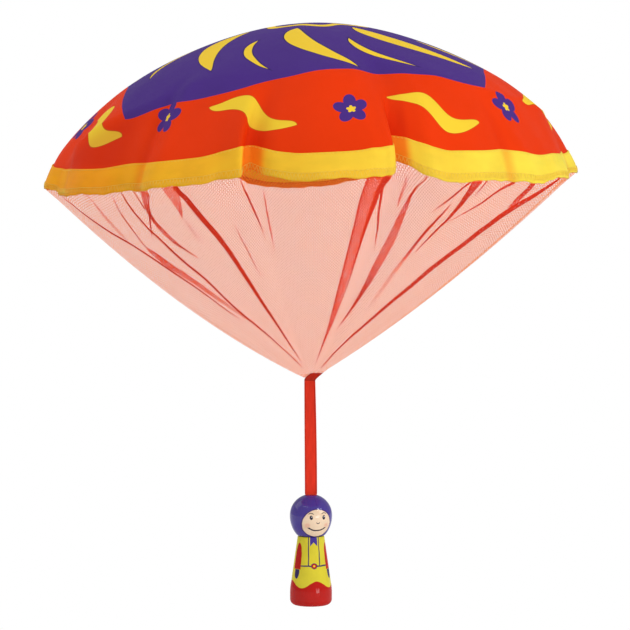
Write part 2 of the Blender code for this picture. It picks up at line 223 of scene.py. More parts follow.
# Soft creases above the hem: angle and half width in degrees, depth in millimetres, share at which each starts
CREASES = (
    (232.0, 2.0, 4.4, 0.64), (236.5, 2.4, -2.6, 0.60), (221.0, 4.0, 1.4, 0.62), (247.0, 4.0, 1.2, 0.70),
    (259.0, 2.6, 3.4, 0.60), (253.0, 3.0, -1.8, 0.66), (266.0, 4.0, -1.2, 0.72), (280.5, 4.0, -2.2, 0.62),
    (290.0, 2.8, 4.2, 0.52), (297.5, 2.0, -2.2, 0.60), (308.0, 4.0, 1.6, 0.66), (316.5, 2.0, 2.4, 0.72),
    (321.5, 2.0, -1.8, 0.74), (334.0, 4.0, 1.8, 0.58), (344.0, 4.0, -1.6, 0.56), (196.0, 4.0, 2.4, 0.60),
    (12.0, 4.0, 1.8, 0.60), (41.0, 3.0, 2.2, 0.64), (66.0, 4.0, 1.6, 0.60), (84.0, 2.4, -1.8, 0.70),
    (108.0, 3.0, 2.6, 0.62), (126.0, 4.0, -1.6, 0.66), (141.0, 2.4, 2.2, 0.66), (163.0, 4.0, 1.8, 0.60),
)  # fmt: skip

# The ridge that the front lobes puff out to: angle, height in millimetres, the share of the way down where it runs, and
# the power of its falloff, which is 1 at a sharp ridge
SHOULDER = (
    (0, 3, 0.80, 1.3), (20, 2, 0.66, 1.5), (45, 2.5, 0.62, 1.5), (62, 1, 0.62, 1.5), (78, 2.5, 0.62, 1.5),
    (108, 1, 0.62, 1.5), (130, 2.5, 0.62, 1.5), (150, 1, 0.64, 1.5), (172, 2, 0.80, 1.4), (186, 2.5, 0.935, 1.1),
    (195, 5, 0.905, 1.0), (201, 8, 0.880, 1.0), (208, 11, 0.850, 0.95), (214, 11.5, 0.802, 0.95),
    (220, 10, 0.765, 1.0), (227, 7, 0.725, 1.1), (234, 5, 0.68, 1.3), (243, 5, 0.63, 1.4),
    (258, 2, 0.62, 1.5), (272, 5, 0.62, 1.5), (281, 4, 0.62, 1.5), (289, -2, 0.62, 1.5), (297, 3, 0.62, 1.5),
    (306, 5.5, 0.65, 1.4), (314, 6, 0.69, 1.1), (320, 7, 0.71, 1.0), (326, 8, 0.735, 1.0), (336, 8, 0.74, 1.0),
    (346, 8.5, 0.79, 1.1),
)  # fmt: skip
SHOULDER_RISE, SHOULDER_FALL = 0.13, 0.085
SHOULDER_OUTWARD, SHOULDER_UPWARD = 0.6, 0.8
MM = 0.001

# Small ripples round the cloth: height in millimetres, how many go round, and phase
RIPPLES = ((0.8, 17.0, 0.6), (0.6, 29.0, 2.1), (0.45, 43.0, 4.0))

# The shares, from crown to hem, between which each part of the shape fades in or out
CROWN_FLAT_SPAN, HEM_TRIM_START = (0.30, 0.66), 0.60
SHARP_FOLD_SPAN, RIPPLE_SPAN, SHOULDER_END_SPAN = (0.66, 0.94), (0.72, 1.0), (0.86, 0.995)

# Painted shade: how far a fold lies in, in metres, and how high the ridge stands that shades the cloth under it
PAINTED_SHADE_DEPTHS, PAINTED_SHADE_SPAN = (0.0002, 0.0048), (0.70, 0.92)
RIDGE_HEIGHTS, RIDGE_SIDE, RIDGE_ABOVE, RIDGE_BELOW = (0.0055, 0.010), (0.35, 0.65), 0.005, 0.05
RIDGE_ON_TAPE, RIDGE_TAPE_SPAN = 0.72, (0.895, 0.925)

ANGLE_ROWS, HEM_PLACES, SOFT_HEM_SPREAD = 1440, 720, 10
SHARP_FOLD_DEG, SHARP_FOLD_REACH, SHARP_FOLD_EXTRA = 287.8, (3.0, 7.0), 3.0


def smooth(value):
    value = min(max(value, 0.0), 1.0)
    return value * value * (3.0 - 2.0 * value)


def fade(value, low, high):
    return smooth((value - low) / (high - low))


def read_smoothly(rows, place):
    """The columns of four neighbouring rows, at a place between the middle two. Each row starts with its own place."""
    gaps = [after[0] - before[0] for before, after in zip(rows, rows[1:])]
    span = gaps[1]
    t = (place - rows[1][0]) / span
    read = []
    for column in range(1, len(rows[0])):
        before, low, high, beyond = (row[column] for row in rows)
        low_slope = slope_between(before, low, high, gaps[0], span)
        high_slope = slope_between(low, high, beyond, span, gaps[2])
        cubic = (2 * t**3 - 3 * t**2 + 1) * low + (3 * t**2 - 2 * t**3) * high
        read.append(cubic + (t**3 - 2 * t**2 + t) * span * low_slope + (t**3 - t**2) * span * high_slope)
    return read


def slope_between(before, here, after, back, ahead):
    """A slope that never overshoots its neighbours: 0 at a peak, else the harmonic mean of both sides."""
    first, second = (here - before) / back, (after - here) / ahead
    return 0.0 if first * second <= 0.0 else 2.0 * first * second / (first + second)


def round_table(table, degree):
    """A table by angle, read smoothly between its rows all the way round."""
    count, place = len(table), degree % 360.0
    after = next((i for i in range(count) if table[i][0] > place), count)
    rows = []
    for index in range(after - 2, after + 2):
        turns, row = divmod(index, count)
        rows.append((table[row][0] + 360.0 * turns, *table[row][1:]))
    return read_smoothly(rows, place)


def line_table(table, place):
    """A table by place, read smoothly between its rows and level beyond its ends."""
    place = min(max(place, table[0][0]), table[-1][0])
    after = next(i for i in range(1, len(table)) if table[i][0] >= place)
    first, last = table[0], table[-1]
    padded = ((first[0] - 1.0, *first[1:]), *table, (last[0] + 1.0, *last[1:]))
    return read_smoothly(padded[after - 1 : after + 3], place)


class Cloth:
    """The hanging cloth's surface, as points at a share of the way from crown to hem and an angle round it."""

    def __init__(self, sizes):
        self.sizes = sizes
        self.profile = self.hang()
        self.rows = [self.around(math.radians(360.0 * row / ANGLE_ROWS)) for row in range(ANGLE_ROWS)]
        self.hem_means = []

    def hang(self):
        step = self.sizes.flat_radius / PROFILE_STEPS
        radius, drop = 0.0, 0.0
        places = [(radius, drop)]
        for index in range(PROFILE_STEPS):
            share = (index + 0.5) / PROFILE_STEPS
            slope = math.radians(CROWN_TURN_DEG * share**CROWN_TURN_POWER + HEM_TURN_DEG * share**HEM_TURN_POWER)
            radius += step * math.cos(slope)
            drop += step * math.sin(slope)
            places.append((radius, drop))
        return places

    def profile_at(self, share):
        place = min(max(share, 0.0), 1.0) * PROFILE_STEPS
        index = min(int(place), PROFILE_STEPS - 1)
        low, high = self.profile[index], self.profile[index + 1]
        return tuple(a + (b - a) * (place - index) for a, b in zip(low, high))

    def around(self, angle):
        """What the hang depends on at one angle: fold, hem corrections, shoulder and small ripples."""
        spacing = TURN / FOLD_COUNT
        turn = (angle - FIRST_FOLD) / spacing
        nearest = round(turn)
        fold = FOLD_SHARES[nearest % FOLD_COUNT] * math.cos(math.pi * (turn - nearest)) ** FOLD_NARROWNESS
        slide, outward, lift, top_lift = round_table(HEM_TRIM, math.degrees(angle))
        shoulder, shoulder_share, power = round_table(SHOULDER, math.degrees(angle))
        ripple = sum(high * math.sin(count * angle + phase) for high, count, phase in RIPPLES)
        lifts = (lift * MM, top_lift * MM)
        return fold, math.radians(slide), outward * MM, *lifts, shoulder * MM, shoulder_share, power, ripple * MM

    def around_at(self, angle):
        place = (math.degrees(angle) % 360.0) * (ANGLE_ROWS / 360.0)
        index = int(place)
        low, high = self.rows[index % ANGLE_ROWS], self.rows[(index + 1) % ANGLE_ROWS]
        return tuple(a + (b - a) * (place - index) for a, b in zip(low, high))

    def crease(self, share, angle):
        """How far the soft creases push the cloth in here."""
        depth = 0.0
        for middle, half_width, deep, start in CREASES:
            away = (math.degrees(angle) - middle + 180.0) % 360.0 - 180.0
            spread = half_width * (0.6 + 0.6 * share)
            if abs(away) < 3.0 * spread:
                depth += deep * MM * math.exp(-((away / spread) ** 2)) * fade(share, start - 0.06, start + 0.16)
        return depth

    def point(self, share, angle):
        radius, drop = self.profile_at(share)
        fold, slide, outward, lift, top_lift, shoulder, shoulder_share, power, ripple = self.around_at(angle)
        folding = max(0.0, (share - FOLD_START) / (1.0 - FOLD_START)) ** FOLD_FADE_POWER
        tape_top = self.share_up(self.sizes.band_width)
        down_tape = min(max((share - tape_top) / (1.0 - tape_top), 0.0), 1.0)
        lifted = (top_lift + (lift - top_lift) * down_tape) * fade(share, HEM_TRIM_START, tape_top)
        sharp_fold = fade(share, *SHARP_FOLD_SPAN)
        radius += outward * sharp_fold - self.sizes.fold_depth * fold * folding
        radius += ripple * fade(share, *RIPPLE_SPAN) - self.crease(share, angle)
        from_shoulder = share - shoulder_share
        width = SHOULDER_RISE if from_shoulder < 0.0 else SHOULDER_FALL
        bulge = shoulder * math.exp(-(abs(from_shoulder / width) ** power)) * (1.0 - fade(share, *SHOULDER_END_SPAN))
        radius += bulge * SHOULDER_OUTWARD
        turned = angle + slide * sharp_fold
        x, y = radius * math.cos(turned), radius * math.sin(turned)
        flattened = self.sizes.crown_flat * (1.0 - fade(share, *CROWN_FLAT_SPAN))
        height = self.sizes.hem_lift * fold**2 * folding + lifted + bulge * SHOULDER_UPWARD - flattened
        return Vector((x, y, height + radius * math.cos(angle) * TILT - drop))

    def normal(self, share, angle):
        step, turn = 0.004, 0.004
        along = self.point(share, angle) - self.point(share - step, angle)
        across = self.point(share, angle + turn) - self.point(share, angle - turn)
        return along.cross(across).normalized()

    def soft_hem(self, angle):
        """A place on the hem's edge with its sharp folds averaged away."""
        if not self.hem_means:
            edge = [self.point(1.0, math.radians(360.0 * i / HEM_PLACES)) for i in range(HEM_PLACES)]
            reach = 2 * SOFT_HEM_SPREAD
            weights = [(k, math.exp(-((k / SOFT_HEM_SPREAD) ** 2))) for k in range(-reach, reach + 1)]
            whole = sum(weight for _, weight in weights)
            for i in range(HEM_PLACES):
                near = (edge[(i + k) % HEM_PLACES] * weight for k, weight in weights)
                self.hem_means.append(sum(near, Vector()) / whole)
        place = (math.degrees(angle) % 360.0) * (HEM_PLACES / 360.0)
        index = int(place)
        low, high = self.hem_means[index % HEM_PLACES], self.hem_means[(index + 1) % HEM_PLACES]
        return low.lerp(high, place - index)

    def recess(self, share, angle):
        """Painted shade from 0 to 1, by how deep in a fold or under the left ridge the cloth lies here."""
        soft, edge = self.soft_hem(angle), self.point(1.0, angle)
        drawn_in = math.hypot(soft.x, soft.y) - math.hypot(edge.x, edge.y)
        folded = fade(drawn_in, *PAINTED_SHADE_DEPTHS) * fade(share, *PAINTED_SHADE_SPAN)
        ridge, ridge_share = self.around_at(angle)[5:7]
        under = fade(ridge, *RIDGE_HEIGHTS) * fade(share, ridge_share - RIDGE_ABOVE, ridge_share + RIDGE_BELOW)
        under *= fade(-math.cos(angle), *RIDGE_SIDE)
        return max(folded, under * (1.0 - RIDGE_ON_TAPE * fade(share, *RIDGE_TAPE_SPAN)))

    def hem_level(self):
        return -self.profile_at(1.0)[1]

    def share_up(self, distance):
        """The share at a distance up from the hem's edge, along the cloth."""
        return 1.0 - distance / self.sizes.flat_radius


def column_angles(count):
    """Angles of the columns round the cloth, with more of them in the sharp fold."""
    angles = []
    degree = 0.0
    while degree < 360.0:
        angles.append(math.radians(degree))
        near_fold = 1.0 - fade(abs(degree - SHARP_FOLD_DEG), *SHARP_FOLD_REACH)
        degree += 360.0 / count / (1.0 + SHARP_FOLD_EXTRA * near_fold)
    return angles


# Building pieces


def new_piece(name, verts, faces, finishes, smooth_deg=180.0):
    mesh = bpy.data.meshes.new(name)
    mesh.from_pydata([tuple(v) for v in verts], [], faces)
    mesh.shade_smooth()
    mesh.set_sharp_from_angle(angle=math.radians(smooth_deg))
    for finish in finishes:
        mesh.materials.append(finish)
    piece = bpy.data.objects.new(name, mesh)
    bpy.context.scene.collection.objects.link(piece)
    return piece


def lattice(rows, closed=True):
    """Vertices and faces of rows of points, joined side by side, and round the ends if closed."""
    verts = [point for row in rows for point in row]
    count = len(rows[0])
    faces = []
    for r in range(len(rows) - 1):
        for c in range(count if closed else count - 1):
            after = (c + 1) % count
            faces.append((r * count + c, (r + 1) * count + c, (r + 1) * count + after, r * count + after))
    return verts, faces


def set_uv(piece, name, flat):
    """A UV map from one flat place for each vertex."""
    layer = piece.data.uv_layers.new(name=name)
    for loop in piece.data.loops:
        layer.data[loop.index].uv = flat[loop.vertex_index]


def set_values(piece, name, values):
    attribute = piece.data.attributes.new(name, "FLOAT", "POINT")
    attribute.data.foreach_set("value", values)


def tube(verts, faces, points, radius, sides=5):
    """Adds a thin capped tube through the points to lists of vertices and faces."""
    start = len(verts)
    for i, point in enumerate(points):
        ahead = points[min(i + 1, len(points) - 1)] - points[max(i - 1, 0)]
        side = ahead.cross(SKY if abs(ahead.normalized().z) < 0.9 else Vector((1.0, 0.0, 0.0))).normalized()
        up = side.cross(ahead).normalized()
        thick = radius * (0.55 if i in (0, len(points) - 1) else 1.0)
        for k in range(sides):
            a = TURN * k / sides
            verts.append(point + side * (math.cos(a) * thick) + up * (math.sin(a) * thick))
    for i in range(len(points) - 1):
        for k in range(sides):
            a, b = start + i * sides + k, start + i * sides + (k + 1) % sides
            faces.append((a, b, b + sides, a + sides))
    faces.append(tuple(start + k for k in reversed(range(sides))))
    end = start + (len(points) - 1) * sides
    faces.append(tuple(end + k for k in range(sides)))


def deselect():
    if bpy.context.object and bpy.context.object.mode != "OBJECT":
        bpy.ops.object.mode_set(mode="OBJECT")
    bpy.ops.object.select_all(action="DESELECT")


def turn_on_lathe(name, outline, finish, steps=96):
    """A turned piece: a point is extruded along the outline, the line spun about Z and its seams merged."""
    deselect()
    radius, level = outline[0]
    bpy.ops.mesh.primitive_plane_add(size=0.001, location=(radius, 0.0, level))
    piece = bpy.context.object
    piece.name = piece.data.name = name
    bpy.ops.object.mode_set(mode="EDIT")
    bpy.ops.mesh.select_all(action="SELECT")
    bpy.ops.mesh.merge(type="CENTER")
    for (r0, z0), (r1, z1) in zip(outline, outline[1:]):
        bpy.ops.mesh.extrude_region_move(TRANSFORM_OT_translate={"value": (r1 - r0, 0.0, z1 - z0)})
    bpy.ops.mesh.select_all(action="SELECT")
    bpy.ops.mesh.spin(steps=steps, dupli=False, angle=TURN, center=(0.0, 0.0, 0.0), axis=(0.0, 0.0, 1.0))
    bpy.ops.mesh.select_all(action="SELECT")
    bpy.ops.mesh.remove_doubles(threshold=0.000002)
    bpy.ops.mesh.normals_make_consistent(inside=False)
    bpy.ops.object.mode_set(mode="OBJECT")
    bpy.ops.object.transform_apply(location=True, rotation=True, scale=True)
    bpy.ops.object.shade_smooth_by_angle(angle=math.radians(40.0))
    piece.data.materials.append(finish)
    return piece


# Shader maths


class Wire:
    """A node's output in a material, with the operators that shader maths on numbers needs."""

    def __init__(self, finish, socket):
        self.finish, self.socket = finish, socket

    def out(self, name):
        return Wire(self.finish, self.socket.node.outputs[name])

    def maths(self, operation, *values):
        return self.finish.node("ShaderNodeMath", {"operation": operation}, dict(enumerate(values)))

    def __add__(self, other):
        return self.maths("ADD", self, other)

    def __sub__(self, other):
        return self.maths("SUBTRACT", self, other)

    def __rsub__(self, other):
        return self.maths("SUBTRACT", other, self)

    def __mul__(self, other):
        return self.maths("MULTIPLY", self, other)

    def __truediv__(self, other):
        return self.maths("DIVIDE", self, other)

    def __pow__(self, other):
        return self.maths("POWER", self, other)

    def __abs__(self):
        return self.maths("ABSOLUTE", self)

    def __neg__(self):
        return self.maths("MULTIPLY", self, -1.0)

    __radd__, __rmul__ = __add__, __mul__

    def also(self, other):
        return self.maths("MINIMUM", self, other)

    def either(self, other):
        return self.maths("MAXIMUM", self, other)

    def root(self):
        return self.maths("SQRT", self)

    def sine(self):
        return self.maths("SINE", self)

    def rounded(self):
        return self.maths("ROUND", self)

    def steps(self, low, high):
        """0 below low and 1 above high, or the other way round if low is larger, with a soft step between."""
        values = {"Value": self, "From Min": low, "From Max": high}
        return self.finish.node("ShaderNodeMapRange", {"interpolation_type": "SMOOTHSTEP"}, values)

    def inside(self, soft=0.00025):
        """1 where this distance is negative, as inside a motif, with an edge that is soft over a hair's width."""
        return self.steps(soft, -soft)


class Finish:
    """A material in the making."""

    def __init__(self, name, roughness, **constants):
        self.material = bpy.data.materials.new(name)
        self.material.use_nodes = True
        self.nodes, self.links = self.material.node_tree.nodes, self.material.node_tree.links
        self.shader = self.nodes["Principled BSDF"]
        self.feed(Roughness=roughness, **constants)

    def node(self, kind, settings=None, values=None):
        """Adds a node, sets it up, feeds its sockets by name or number, and gives its first shown output."""
        made = self.nodes.new(kind)
        for name, value in (settings or {}).items():
            if name == "stops":
                self.set_stops(made.color_ramp, value)
            else:
                setattr(made, name, value)
        for name, value in (values or {}).items():
            self.plug(made.inputs[name], value)
        return Wire(self, next(s for s in made.outputs if s.enabled))

    def set_stops(self, ramp, stops):
        while len(ramp.elements) < len(stops):
            ramp.elements.new(0.5)
        for element, (place, shade) in zip(ramp.elements, stops):
            element.position = place
            element.color = (*shade, 1.0)

    def plug(self, socket, value):
        if isinstance(value, Wire):
            self.links.new(value.socket, socket)
        elif socket.type == "RGBA":
            socket.default_value = (*value, 1.0)[:4]
        else:
            socket.default_value = value

    def feed(self, **values):
        """Feeds the shader's own sockets: Base_Color stands for Base Color."""
        for name, value in values.items():
            self.plug(self.shader.inputs[name.replace("_", " ")], value)
        return self

    def mix(self, mask, under, over):
        """The colour under, with the colour over it where the mask is 1."""
        sockets = {0: mask, 6: under, 7: over}
        return self.node("ShaderNodeMix", {"data_type": "RGBA"}, sockets)

    def multiplied(self, shade, tone, mask=1.0):
        """The colour, multiplied by a tone where the mask is 1."""
        sockets = {0: mask, 6: shade, 7: tone}
        return self.node("ShaderNodeMix", {"data_type": "RGBA", "blend_type": "MULTIPLY"}, sockets)

    def place(self):
        return self.node("ShaderNodeTexCoord").out("Object")

    def flat(self, name):
        """Places on a piece that is laid out flat, in metres, from its UV map."""
        return self.node("ShaderNodeUVMap", {"uv_map": name})

    def attribute(self, name):
        return self.node("ShaderNodeAttribute", {"attribute_name": name}).out("Fac")

    def bearing(self, up, across):
        """The angle at which a place lies, from its two distances."""
        return self.node("ShaderNodeMath", {"operation": "ARCTAN2"}, {0: up, 1: across})

    def split(self, vector):
        parts = self.node("ShaderNodeSeparateXYZ", values={"Vector": vector})
        return parts.out("X"), parts.out("Y"), parts.out("Z")

    def noise(self, vector, scale, detail=2.0, **more):
        values = {"Vector": vector, "Scale": scale, "Detail": detail, **more}
        return self.node("ShaderNodeTexNoise", values=values)

    def stretched_noise(self, vector, scale, detail):
        return self.noise(self.node("ShaderNodeMapping", values={"Vector": vector, "Scale": scale}), 1.0, detail)

    def bump(self, height, strength, distance, normal=None):
        values = {"Height": height, "Strength": strength, "Distance": distance}
        if normal is not None:
            values["Normal"] = normal
        return self.node("ShaderNodeBump", values=values)

    def with_painted_shade(self, shade, tone):
        """Painted shade: the colour, multiplied by a darker tone where the cloth lies in a fold or under the left
        ridge.
        """
        return self.multiplied(shade, tone, self.attribute("recess"))

    def tinted(self, shade, amount, low, high):
        """The colour, darker and lighter by a value that runs from low to high."""
        scale = amount.steps(0.25, 0.75) * (high - low) + low
        vector = self.node("ShaderNodeCombineXYZ", values={0: scale, 1: scale, 2: scale})
        return self.multiplied(shade, vector)


# The violet middle's edge: a disc, drawn out a little to four soft corners and to one side, with two sharper corners in
# front, and cut straight on the left and right
CROWN_RADIUS, CROWN_CORNERS, CROWN_CORNER_TURN = 0.2055, 0.0130, math.radians(237.0)
CROWN_LEAN, CROWN_LEAN_TURN = 0.012, math.radians(-75.0)
CROWN_SIDE = 0.1745
CROWN_POINTS, CROWN_POINT_TURN, CROWN_POINT_REACH = 0.0148, math.radians(52.0), math.radians(17.0)


CLOTH_THREAD, TAPE_THREAD = (0.00065, 0.00012), (0.0006, 0.0001)
RIB_PITCH, RIB_THREAD_PITCH = 0.0007, 0.0006
MOTIFS_ROUND, BLOSSOM_PLACE = 8, (0.80, 0.2370)
STREAMER_EDGE, VIOLET_REVERSE = (0.62, 0.10, 0.01), (0.20, 0.11, 0.42)
HOOD_LINE, STRAP_SHADE, GLOVE_SHADE = (0.045, 0.016, 0.17), (0.050, 0.035, 0.14), (0.040, 0.028, 0.14)


def distance(x, y):
    """How far a place is from the origin, in shader maths."""
    return (x * x + y * y).root()


def weave(finish, flat, pitch, depth, normal=None):
    """Bump of a plain weave of crossing threads, on flat places in metres."""
    x, y, _ = finish.split(flat)
    threads = TURN / pitch
    crossing = (x * threads).sine() * (y * threads).sine()
    return finish.bump(crossing, 0.35, depth, normal)


def canopy_print(colours):
    """Printed polyester: violet middle with a ring and curved leaves, red edge with streamers and blossoms."""
    finish = Finish("canopy_print", 0.50, Specular_IOR_Level=0.04)
    flat = finish.flat("cloth_flat")
    x, y, _ = finish.split(flat)
    wobble = (finish.noise(flat, 22.0, 1.0) - 0.5) * 0.006
    radius = distance(x, y)
    angle = finish.bearing(y, x)
    drawn = radius + wobble

    def sectors(count, phase):
        """Distance along the arc from the middle of the nearest sector, in metres."""
        place = angle * (count / TURN) + phase
        return (place - place.rounded()) * drawn * (TURN / count)

    def tapered(side, reach, half_width, power):
        """Distance from a strip's edge; the strip narrows to a point where reach is -1 and 1."""
        left = 1.0 - reach * reach
        return abs(side) - (left.either(0.0) ** power) * half_width - left.also(0.0) * half_width

    def leaf(count, phase, middle, half_length, half_width, sweep):
        """Leaves that sweep aside as they run outward."""
        reach = (drawn - middle) / half_length
        along = sectors(count, phase) - (drawn - middle) * sweep - reach * reach * (sweep * half_length * 0.7)
        return tapered(along, reach, half_width, 0.8)

    def streamer(count, phase, middle, half_length, half_width, lean):
        """Slanting, tapered S-shaped streamers."""
        along, across = sectors(count, phase), drawn - middle
        far = (along * math.cos(lean) + across * math.sin(lean)) / half_length
        side = across * math.cos(lean) - along * math.sin(lean) - (far * 4.4).sine() * (half_width * 0.75)
        return tapered(side, far, half_width, 0.7)

    def blossom(count, phase, middle, size):
        along, across = sectors(count, phase), drawn - middle
        turn = finish.bearing(along, across)
        return distance(along, across) - (abs((turn * 2.5).sine()) * 0.42 + 0.58) * size

    ring = abs(drawn - 0.052 - (angle * 8.0).sine() * 0.006) - 0.0055
    leaves = leaf(MOTIFS_ROUND, 0.06, 0.124, 0.056, 0.0125, 0.55)
    slivers = leaf(MOTIFS_ROUND, 0.52, 0.146, 0.036, 0.0042, 0.55)
    crown_motif = ring.also(leaves).also(slivers)
    streamers = streamer(MOTIFS_ROUND, 0.30, 0.2420, 0.047, 0.0098, 0.40)
    blossoms = blossom(MOTIFS_ROUND, *BLOSSOM_PLACE, 0.0165)
    eyes = blossom(MOTIFS_ROUND, *BLOSSOM_PLACE, 0.0042)

    crown = finish.mix((crown_motif - 0.0013).inside(), colours.violet_print, colours.outline_print)
    crown = finish.mix(crown_motif.inside(), crown, colours.yellow_print)
    skirt = finish.mix((streamers - 0.0007).inside(), colours.red_print, STREAMER_EDGE)
    skirt = finish.mix(streamers.inside(), skirt, colours.yellow_print)
    skirt = finish.mix(blossoms.inside(), skirt, colours.violet_print)
    skirt = finish.mix(eyes.inside(), skirt, colours.yellow_print)
    corners = (angle * 4.0 + CROWN_CORNER_TURN).sine() * CROWN_CORNERS + (angle + CROWN_LEAN_TURN).sine() * CROWN_LEAN
    beside = (abs(angle + math.pi / 2.0) - CROWN_POINT_TURN) / CROWN_POINT_REACH
    corners = corners + ((1.0 - beside * beside).either(0.0) ** 2.0) * (1.0 - x * 2.0) * CROWN_POINTS
    sides = abs(x + wobble * 0.4 + 0.0072) - CROWN_SIDE
    printed = finish.mix((radius + wobble * 0.4 - corners - CROWN_RADIUS).either(sides).inside(), skirt, crown)
    # Painted shade: the print is darkened where the cloth lies in a fold or under the left ridge.
    printed = finish.with_painted_shade(printed, (0.88, 0.72, 0.80))
    cloudy = finish.noise(flat, 9.0, 3.0)
    creased = finish.noise(flat, 38.0, 4.0, Distortion=0.6)
    creases = finish.bump(creased, 0.30, 0.0022)
    woven = weave(finish, flat, *CLOTH_THREAD, creases)
    finish.feed(Base_Color=finish.tinted(printed, cloudy, 0.95, 1.04), Normal=woven)
    finish.feed(Roughness=creased * 0.14 + 0.46)
    return finish.material


def cloth_reverse(colours):
    """The print's reverse, where the red shows through paler."""
    finish = Finish("cloth_reverse", 0.62, Specular_IOR_Level=0.1)
    flat = finish.flat("cloth_flat")
    x, y, _ = finish.split(flat)
    radius = distance(x, y)
    shade = finish.mix((radius - CROWN_RADIUS).inside(0.002), colours.cloth_reverse, VIOLET_REVERSE)
    cloudy = finish.noise(flat, 14.0, 3.0)
    finish.feed(Base_Color=finish.tinted(shade, cloudy, 0.94, 1.04), Normal=weave(finish, flat, *CLOTH_THREAD))
    return finish.material


def tape_finish(name, shade, deep, radius):
    """Satin tape with painted shade on one side and in folds, painted sheen, fine ribs across, soft mottling, small
    puckers.
    """
    finish = Finish(name, 0.50, Specular_IOR_Level=0.06)
    flat = finish.flat("tape_flat")
    along, _, _ = finish.split(flat)
    # Painted light and shade: the tape is lighter towards the right and darker and more orange towards the left.
    light_side = (along / radius + math.pi / 2.0).sine() * 0.5 + 0.5
    shade = finish.mix(light_side, deep, shade)
    # Painted sheen: broad patches keep the tape's full colour as satin sheen, the rest is duller; painted shade then
    # deepens folds.
    sheen = finish.stretched_noise(flat, (14.0, 26.0, 1.0), 2.0)
    outside_sheen = finish.multiplied(shade, (0.97, 0.76, 0.6))
    shade = finish.with_painted_shade(finish.mix(sheen.steps(0.42, 0.68) * 0.34, shade, outside_sheen), (0.96, 0.38, 0.30))
    mottled = finish.stretched_noise(flat, (30.0, 70.0, 1.0), 3.0)
    puckered = finish.stretched_noise(flat, (160.0, 45.0, 1.0), 2.0)
    woven = weave(finish, flat, *TAPE_THREAD, finish.bump(puckered, 0.25, 0.0010))
    finish.feed(Base_Color=finish.tinted(shade, mottled, 0.94, 1.04), Normal=woven)
    finish.feed(Roughness=mottled * 0.16 + 0.42)
    return finish.material


def thread_finish(name, shade):
    """Spun thread, with its turns showing as fine slanting bumps."""
    finish = Finish(name, 0.55, Specular_IOR_Level=0.06)
    place = finish.place()
    spun = finish.noise(place, 2600.0, 2.0)
    uneven = finish.noise(place, 240.0, 2.0)
    finish.feed(Base_Color=finish.tinted(shade, uneven, 0.86, 1.06), Normal=finish.bump(spun, 0.5, 0.0002))
    return finish.material


def net_finish(name, thin, dense, pitch):
    """See-through net: two crossing sets of threads, thicker, and darker and redder as painted shade, where it is
    bunched.

    A little emission in the thread's own colour stands in for the light that passes through and between fine threads.
    """
    finish = Finish(name, 0.72, Specular_IOR_Level=0.02, Emission_Strength=0.24)
    flat = finish.flat("net_flat")
    x, y, _ = finish.split(flat)
    cover = finish.attribute("cover")
    grain = finish.noise(flat, 430.0, 1.0)
    half_width = cover * (grain.steps(0.30, 0.70) * 0.50 + 0.75) * pitch

    def threads(slope):
        place = (x * math.cos(slope) + y * math.sin(slope)) / pitch
        return abs(place - place.rounded()) * pitch

    slope = math.radians(32.0)
    nearest = threads(slope).also(threads(-slope))
    uneven = finish.noise(flat, 60.0, 2.0)
    # Painted shade: the threads go from the thin colour to the darker, redder dense one where the net is bunched.
    shade = finish.mix(cover.steps(0.108, 0.19), thin, dense)
    shade = finish.tinted(shade, uneven, 0.94, 1.05)
    # The painted glow is cut where the net is bunched, which adds to the painted shade there.
    finish.feed(Base_Color=shade, Emission_Color=finish.mix(cover.steps(0.145, 0.27), shade, (0.12, 0.010, 0.006)))
    finish.feed(Alpha=(nearest - half_width).steps(0.00008, -0.00008))
    return finish.material


def ribbon_ribs(along, across):
    """Cross ribs of a woven ribbon, over the finer threads that run along it."""
    return (along * (TURN / RIB_PITCH)).sine() * 0.6 + (across * (TURN / RIB_THREAD_PITCH)).sine() * 0.4


def ribbon_finish(name, shade):
    """Woven ribbon: fine cross ribs, and a denser selvedge along each side, darker partly as painted shade at the
    edges.
    """
    finish = Finish(name, 0.42, Specular_IOR_Level=0.10)
    flat = finish.flat("ribbon_flat")
    across, along, _ = finish.split(flat)
    selvedge = abs(across).steps(0.0040, 0.0044)
    ribs = ribbon_ribs(along, across)
    uneven = finish.stretched_noise(flat, (300.0, 60.0, 1.0), 2.0)
    # The selvedges are darker, partly for their denser weave and partly as painted shade along the ribbon's edges.
    shade = finish.mix(selvedge * 0.75, shade, tuple(channel * 0.62 for channel in shade))
    finish.feed(Base_Color=finish.tinted(shade, uneven, 0.9, 1.06))
    finish.feed(Normal=finish.bump(ribs * (1.0 - selvedge * 0.5), 0.5, 0.00018))
    finish.feed(Roughness=uneven * 0.12 + 0.38)
    return finish.material


def plain_ribbon(colours):
    """The ribbon's weave for the tail in the head's slot, on object places."""
    finish = Finish("ribbon_tail_weave", 0.5, Specular_IOR_Level=0.22)
    place = finish.place()
    x, _, z = finish.split(place)
    uneven = finish.noise(place, 300.0, 2.0)
    ribs = finish.bump(ribbon_ribs(z, x), 0.5, 0.00018)
    finish.feed(Base_Color=finish.tinted(colours.ribbon, uneven, 0.85, 1.0), Normal=ribs)
    return finish.material


def painted_wood(name, gloss):
    """Glossy brushed paint on turned wood: returns the finish, with its grain and brush marks set up."""
    finish = Finish(name, 0.34, Coat_Weight=gloss, Coat_IOR=1.5, Coat_Roughness=0.09, Specular_IOR_Level=0.0)
    place = finish.place()
    grain = finish.stretched_noise(place, (240.0, 240.0, 24.0), 3.0)
    turned = finish.stretched_noise(place, (30.0, 30.0, 900.0), 2.0)
    grained = finish.bump(grain, 0.16, 0.00035)
    finish.feed(Normal=finish.bump(turned, 0.08, 0.0002, grained), Roughness=grain * 0.12 + 0.28)
    return finish, place


